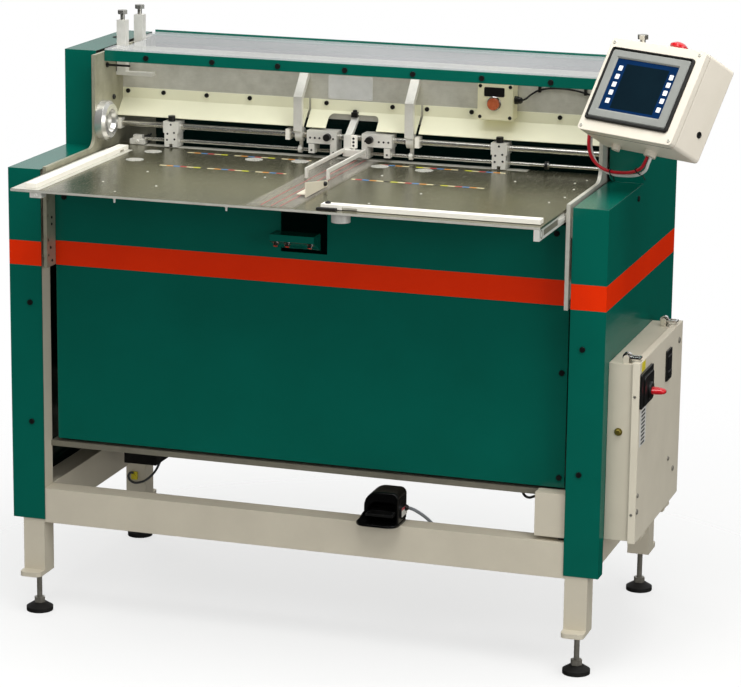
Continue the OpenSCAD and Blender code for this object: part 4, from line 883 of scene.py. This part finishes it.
def hood():
    # From the bottom of the mouth round its rim and over the outside to the back
    (x0, x1), (z0, z1), (front, back) = foot["x"], foot["z"], foot["y"]
    left, right = foot["left"], foot["right"]
    mouth = ((x0 + foot["wall"], x1 - foot["wall"]), foot["mouth"], 22, 10)
    outside = ((x0, x1), (z0, z1), left, right)
    return loft(at, [arch(*mouth, foot["deep"]), arch(*mouth, front + 6),
                     arch((x0 + 3, x1 - 3), (z0, z1 - 3), left - 3, right - 3, front),
                     arch(*outside, front + 4), arch(*outside, back - 6),
                     arch((x0 + 3, x1 - 3), (z0, z1 - 4), left - 3, right - 3, back)])


wedge = ([at(*p) for y in (-16, 48) for p in ((141, y, 298.5), (154, y, 298.5), (154, y, 322))],
         [(0, 1, 2), (5, 4, 3), (0, 3, 4, 1), (1, 4, 5, 2), (2, 5, 3, 0)])
shell = dress("footHood", "machine", "blackGloss",
              [hood(), wedge, card(outward(185, 15.5, 293.4, "up"), 96, 91, 24, 5.5, 8),
               turned(outward(*foot["gland"], "right"), [(7, 0), (7, 5), (5.5, 7), (5, 9)], 20)], 1.2)
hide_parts("foot_switch")
dress("pedalRibs", "pedal", "blackGloss",
      [card(outward(192, y, 321.2, "up"), 56, 3, 1.4, 1.4, 3) for y in (-20, -14, -8, -2, 4)], 0.4)
skirtDepth = (38.2, 616.8)
dress("leftSkirt", "machine", "leftGreen",
      [slab((-669.9, -668), skirtDepth, (222, 297.8)), slab((-668, -656), skirtDepth, (222, 224))], 0.4)
dress("junctionGland", "machine", "blackMoulding",
      [turned(outward(582, 26, 302, "down"), [(9, -0.3), (9, 4), (7, 5), (7, 8), (4, 8.4)], 18)])
dress("footLabel", "machine", "whiteFilm", [card(outward(231.05, 36, 317, "right"), 38, 20, 1.5, 0.3)])
dress("footLabelBar", "machine", "redLacquer", [card(outward(231.35, 36, 324.5, "right"), 38, 5, 1, 0.1)])
dress("earthTerminal", "machine", "yellowFilm",
      [card(outward(-625, 602.6, 157, "front"), 16, 20, 2, 4),
       turned(outward(-625, 598.6, 157, "front"), screwHead(4, 3), 16)], 0.4)
print("stage: small pieces placed")

# Studio: pale floor that fades into a white backdrop, soft lamps

light = {"sky": 0.3, "backdrop": 1.0, "dark": 0.02, "floor": "#f7f7f5", "cover": 0.3, "fade": (0.8, 2.2),
         "reach": 14, "drop": -0.0005, "aim": (0, 0, 0.7), "lamps": {
             "top": {"place": (0.5, -0.9, 4.0), "size": 3.0, "power": 158.0},
             "key": {"place": (4.0, -2.4, 1.9), "size": 2.2, "power": 60.0},
             "fill": {"place": (-0.9, -4.6, 1.7), "size": 2.4, "power": 28.0, "mirrored": False},
             "rear": {"place": (-3.0, 3.0, 2.0), "size": 2.0, "power": 36.0, "mirrored": False}}}


def makeFloor():
    reach = light["reach"]
    rim = [Vector((x * reach, y * reach, light["drop"])) for x, y in ((-1, -1), (1, -1), (1, 1), (-1, 1))]
    item = joined("floor", [(rim, [(0, 1, 2, 3)])], "whiteFilm")
    material, tree, shader, place = startMaterial("paintedStudioFloor")
    away = addNode(tree, "ShaderNodeVectorMath", {"operation": "LENGTH", 0: place})["Value"]
    near, far = light["fade"]
    limits = {"interpolation_type": "SMOOTHSTEP", "Value": away, "From Min": near, "From Max": far,
              "To Min": light["cover"], "To Max": 0.0}
    solid = addNode(tree, "ShaderNodeMapRange", limits)[0]
    setUp(tree, shader, {"Base Color": linear(light["floor"]), "Roughness": 0.9, "Alpha": solid})
    item.data.materials[0] = material
    item.visible_glossy = False


def makeWorld():
    # White for the camera; reflections see a bright upper backdrop and dark surroundings
    world = bpy.data.worlds.new("studio")
    scene.world = world
    world.use_nodes = True
    tree = world.node_tree
    path = addNode(tree, "ShaderNodeLightPath")
    around = addNode(tree, "ShaderNodeTexCoord")["Generated"]
    axes = addNode(tree, "ShaderNodeSeparateXYZ", {0: around})
    limits = {"Value": axes[1], "From Min": 0.0, "From Max": 0.6}
    behind = addNode(tree, "ShaderNodeMapRange", limits)[0]
    limits = {"Value": axes[2], "From Min": 0.04, "From Max": 0.24}
    above = addNode(tree, "ShaderNodeMapRange", limits)[0]
    both = addNode(tree, "ShaderNodeMath", {"operation": "MULTIPLY", 0: behind, 1: above})[0]
    limits = {"Value": both, "To Min": light["dark"], "To Max": light["backdrop"]}
    mirrored = addNode(tree, "ShaderNodeMapRange", limits)[0]
    glossy = {0: path["Is Glossy Ray"], 2: light["sky"], 3: mirrored}
    soft = addNode(tree, "ShaderNodeMix", glossy)[0]
    direct = {"operation": "MAXIMUM", 0: path["Is Camera Ray"], 1: path["Is Transmission Ray"]}
    clear = addNode(tree, "ShaderNodeMath", direct)[0]
    strength = addNode(tree, "ShaderNodeMix", {0: clear, 2: soft, 3: 1.0})[0]
    setUp(tree, tree.nodes["Background"], {"Color": linear("#ffffff"), "Strength": strength})


def makeLamps():
    for name, spec in light["lamps"].items():
        data = bpy.data.lights.new(name, "AREA")
        data.shape = "SQUARE"
        data.size = spec["size"]
        data.energy = spec["power"]
        lamp = bpy.data.objects.new(name, data)
        scene.collection.objects.link(lamp)
        lamp.location = spec["place"]
        lamp.visible_glossy = spec.get("mirrored", True)
        aim = Vector(light["aim"]) - Vector(spec["place"])
        lamp.rotation_euler = aim.to_track_quat("-Z", "Y").to_euler()


makeFloor()
makeWorld()
makeLamps()
scene.view_settings.view_transform = "Standard"
print("stage: studio lit")
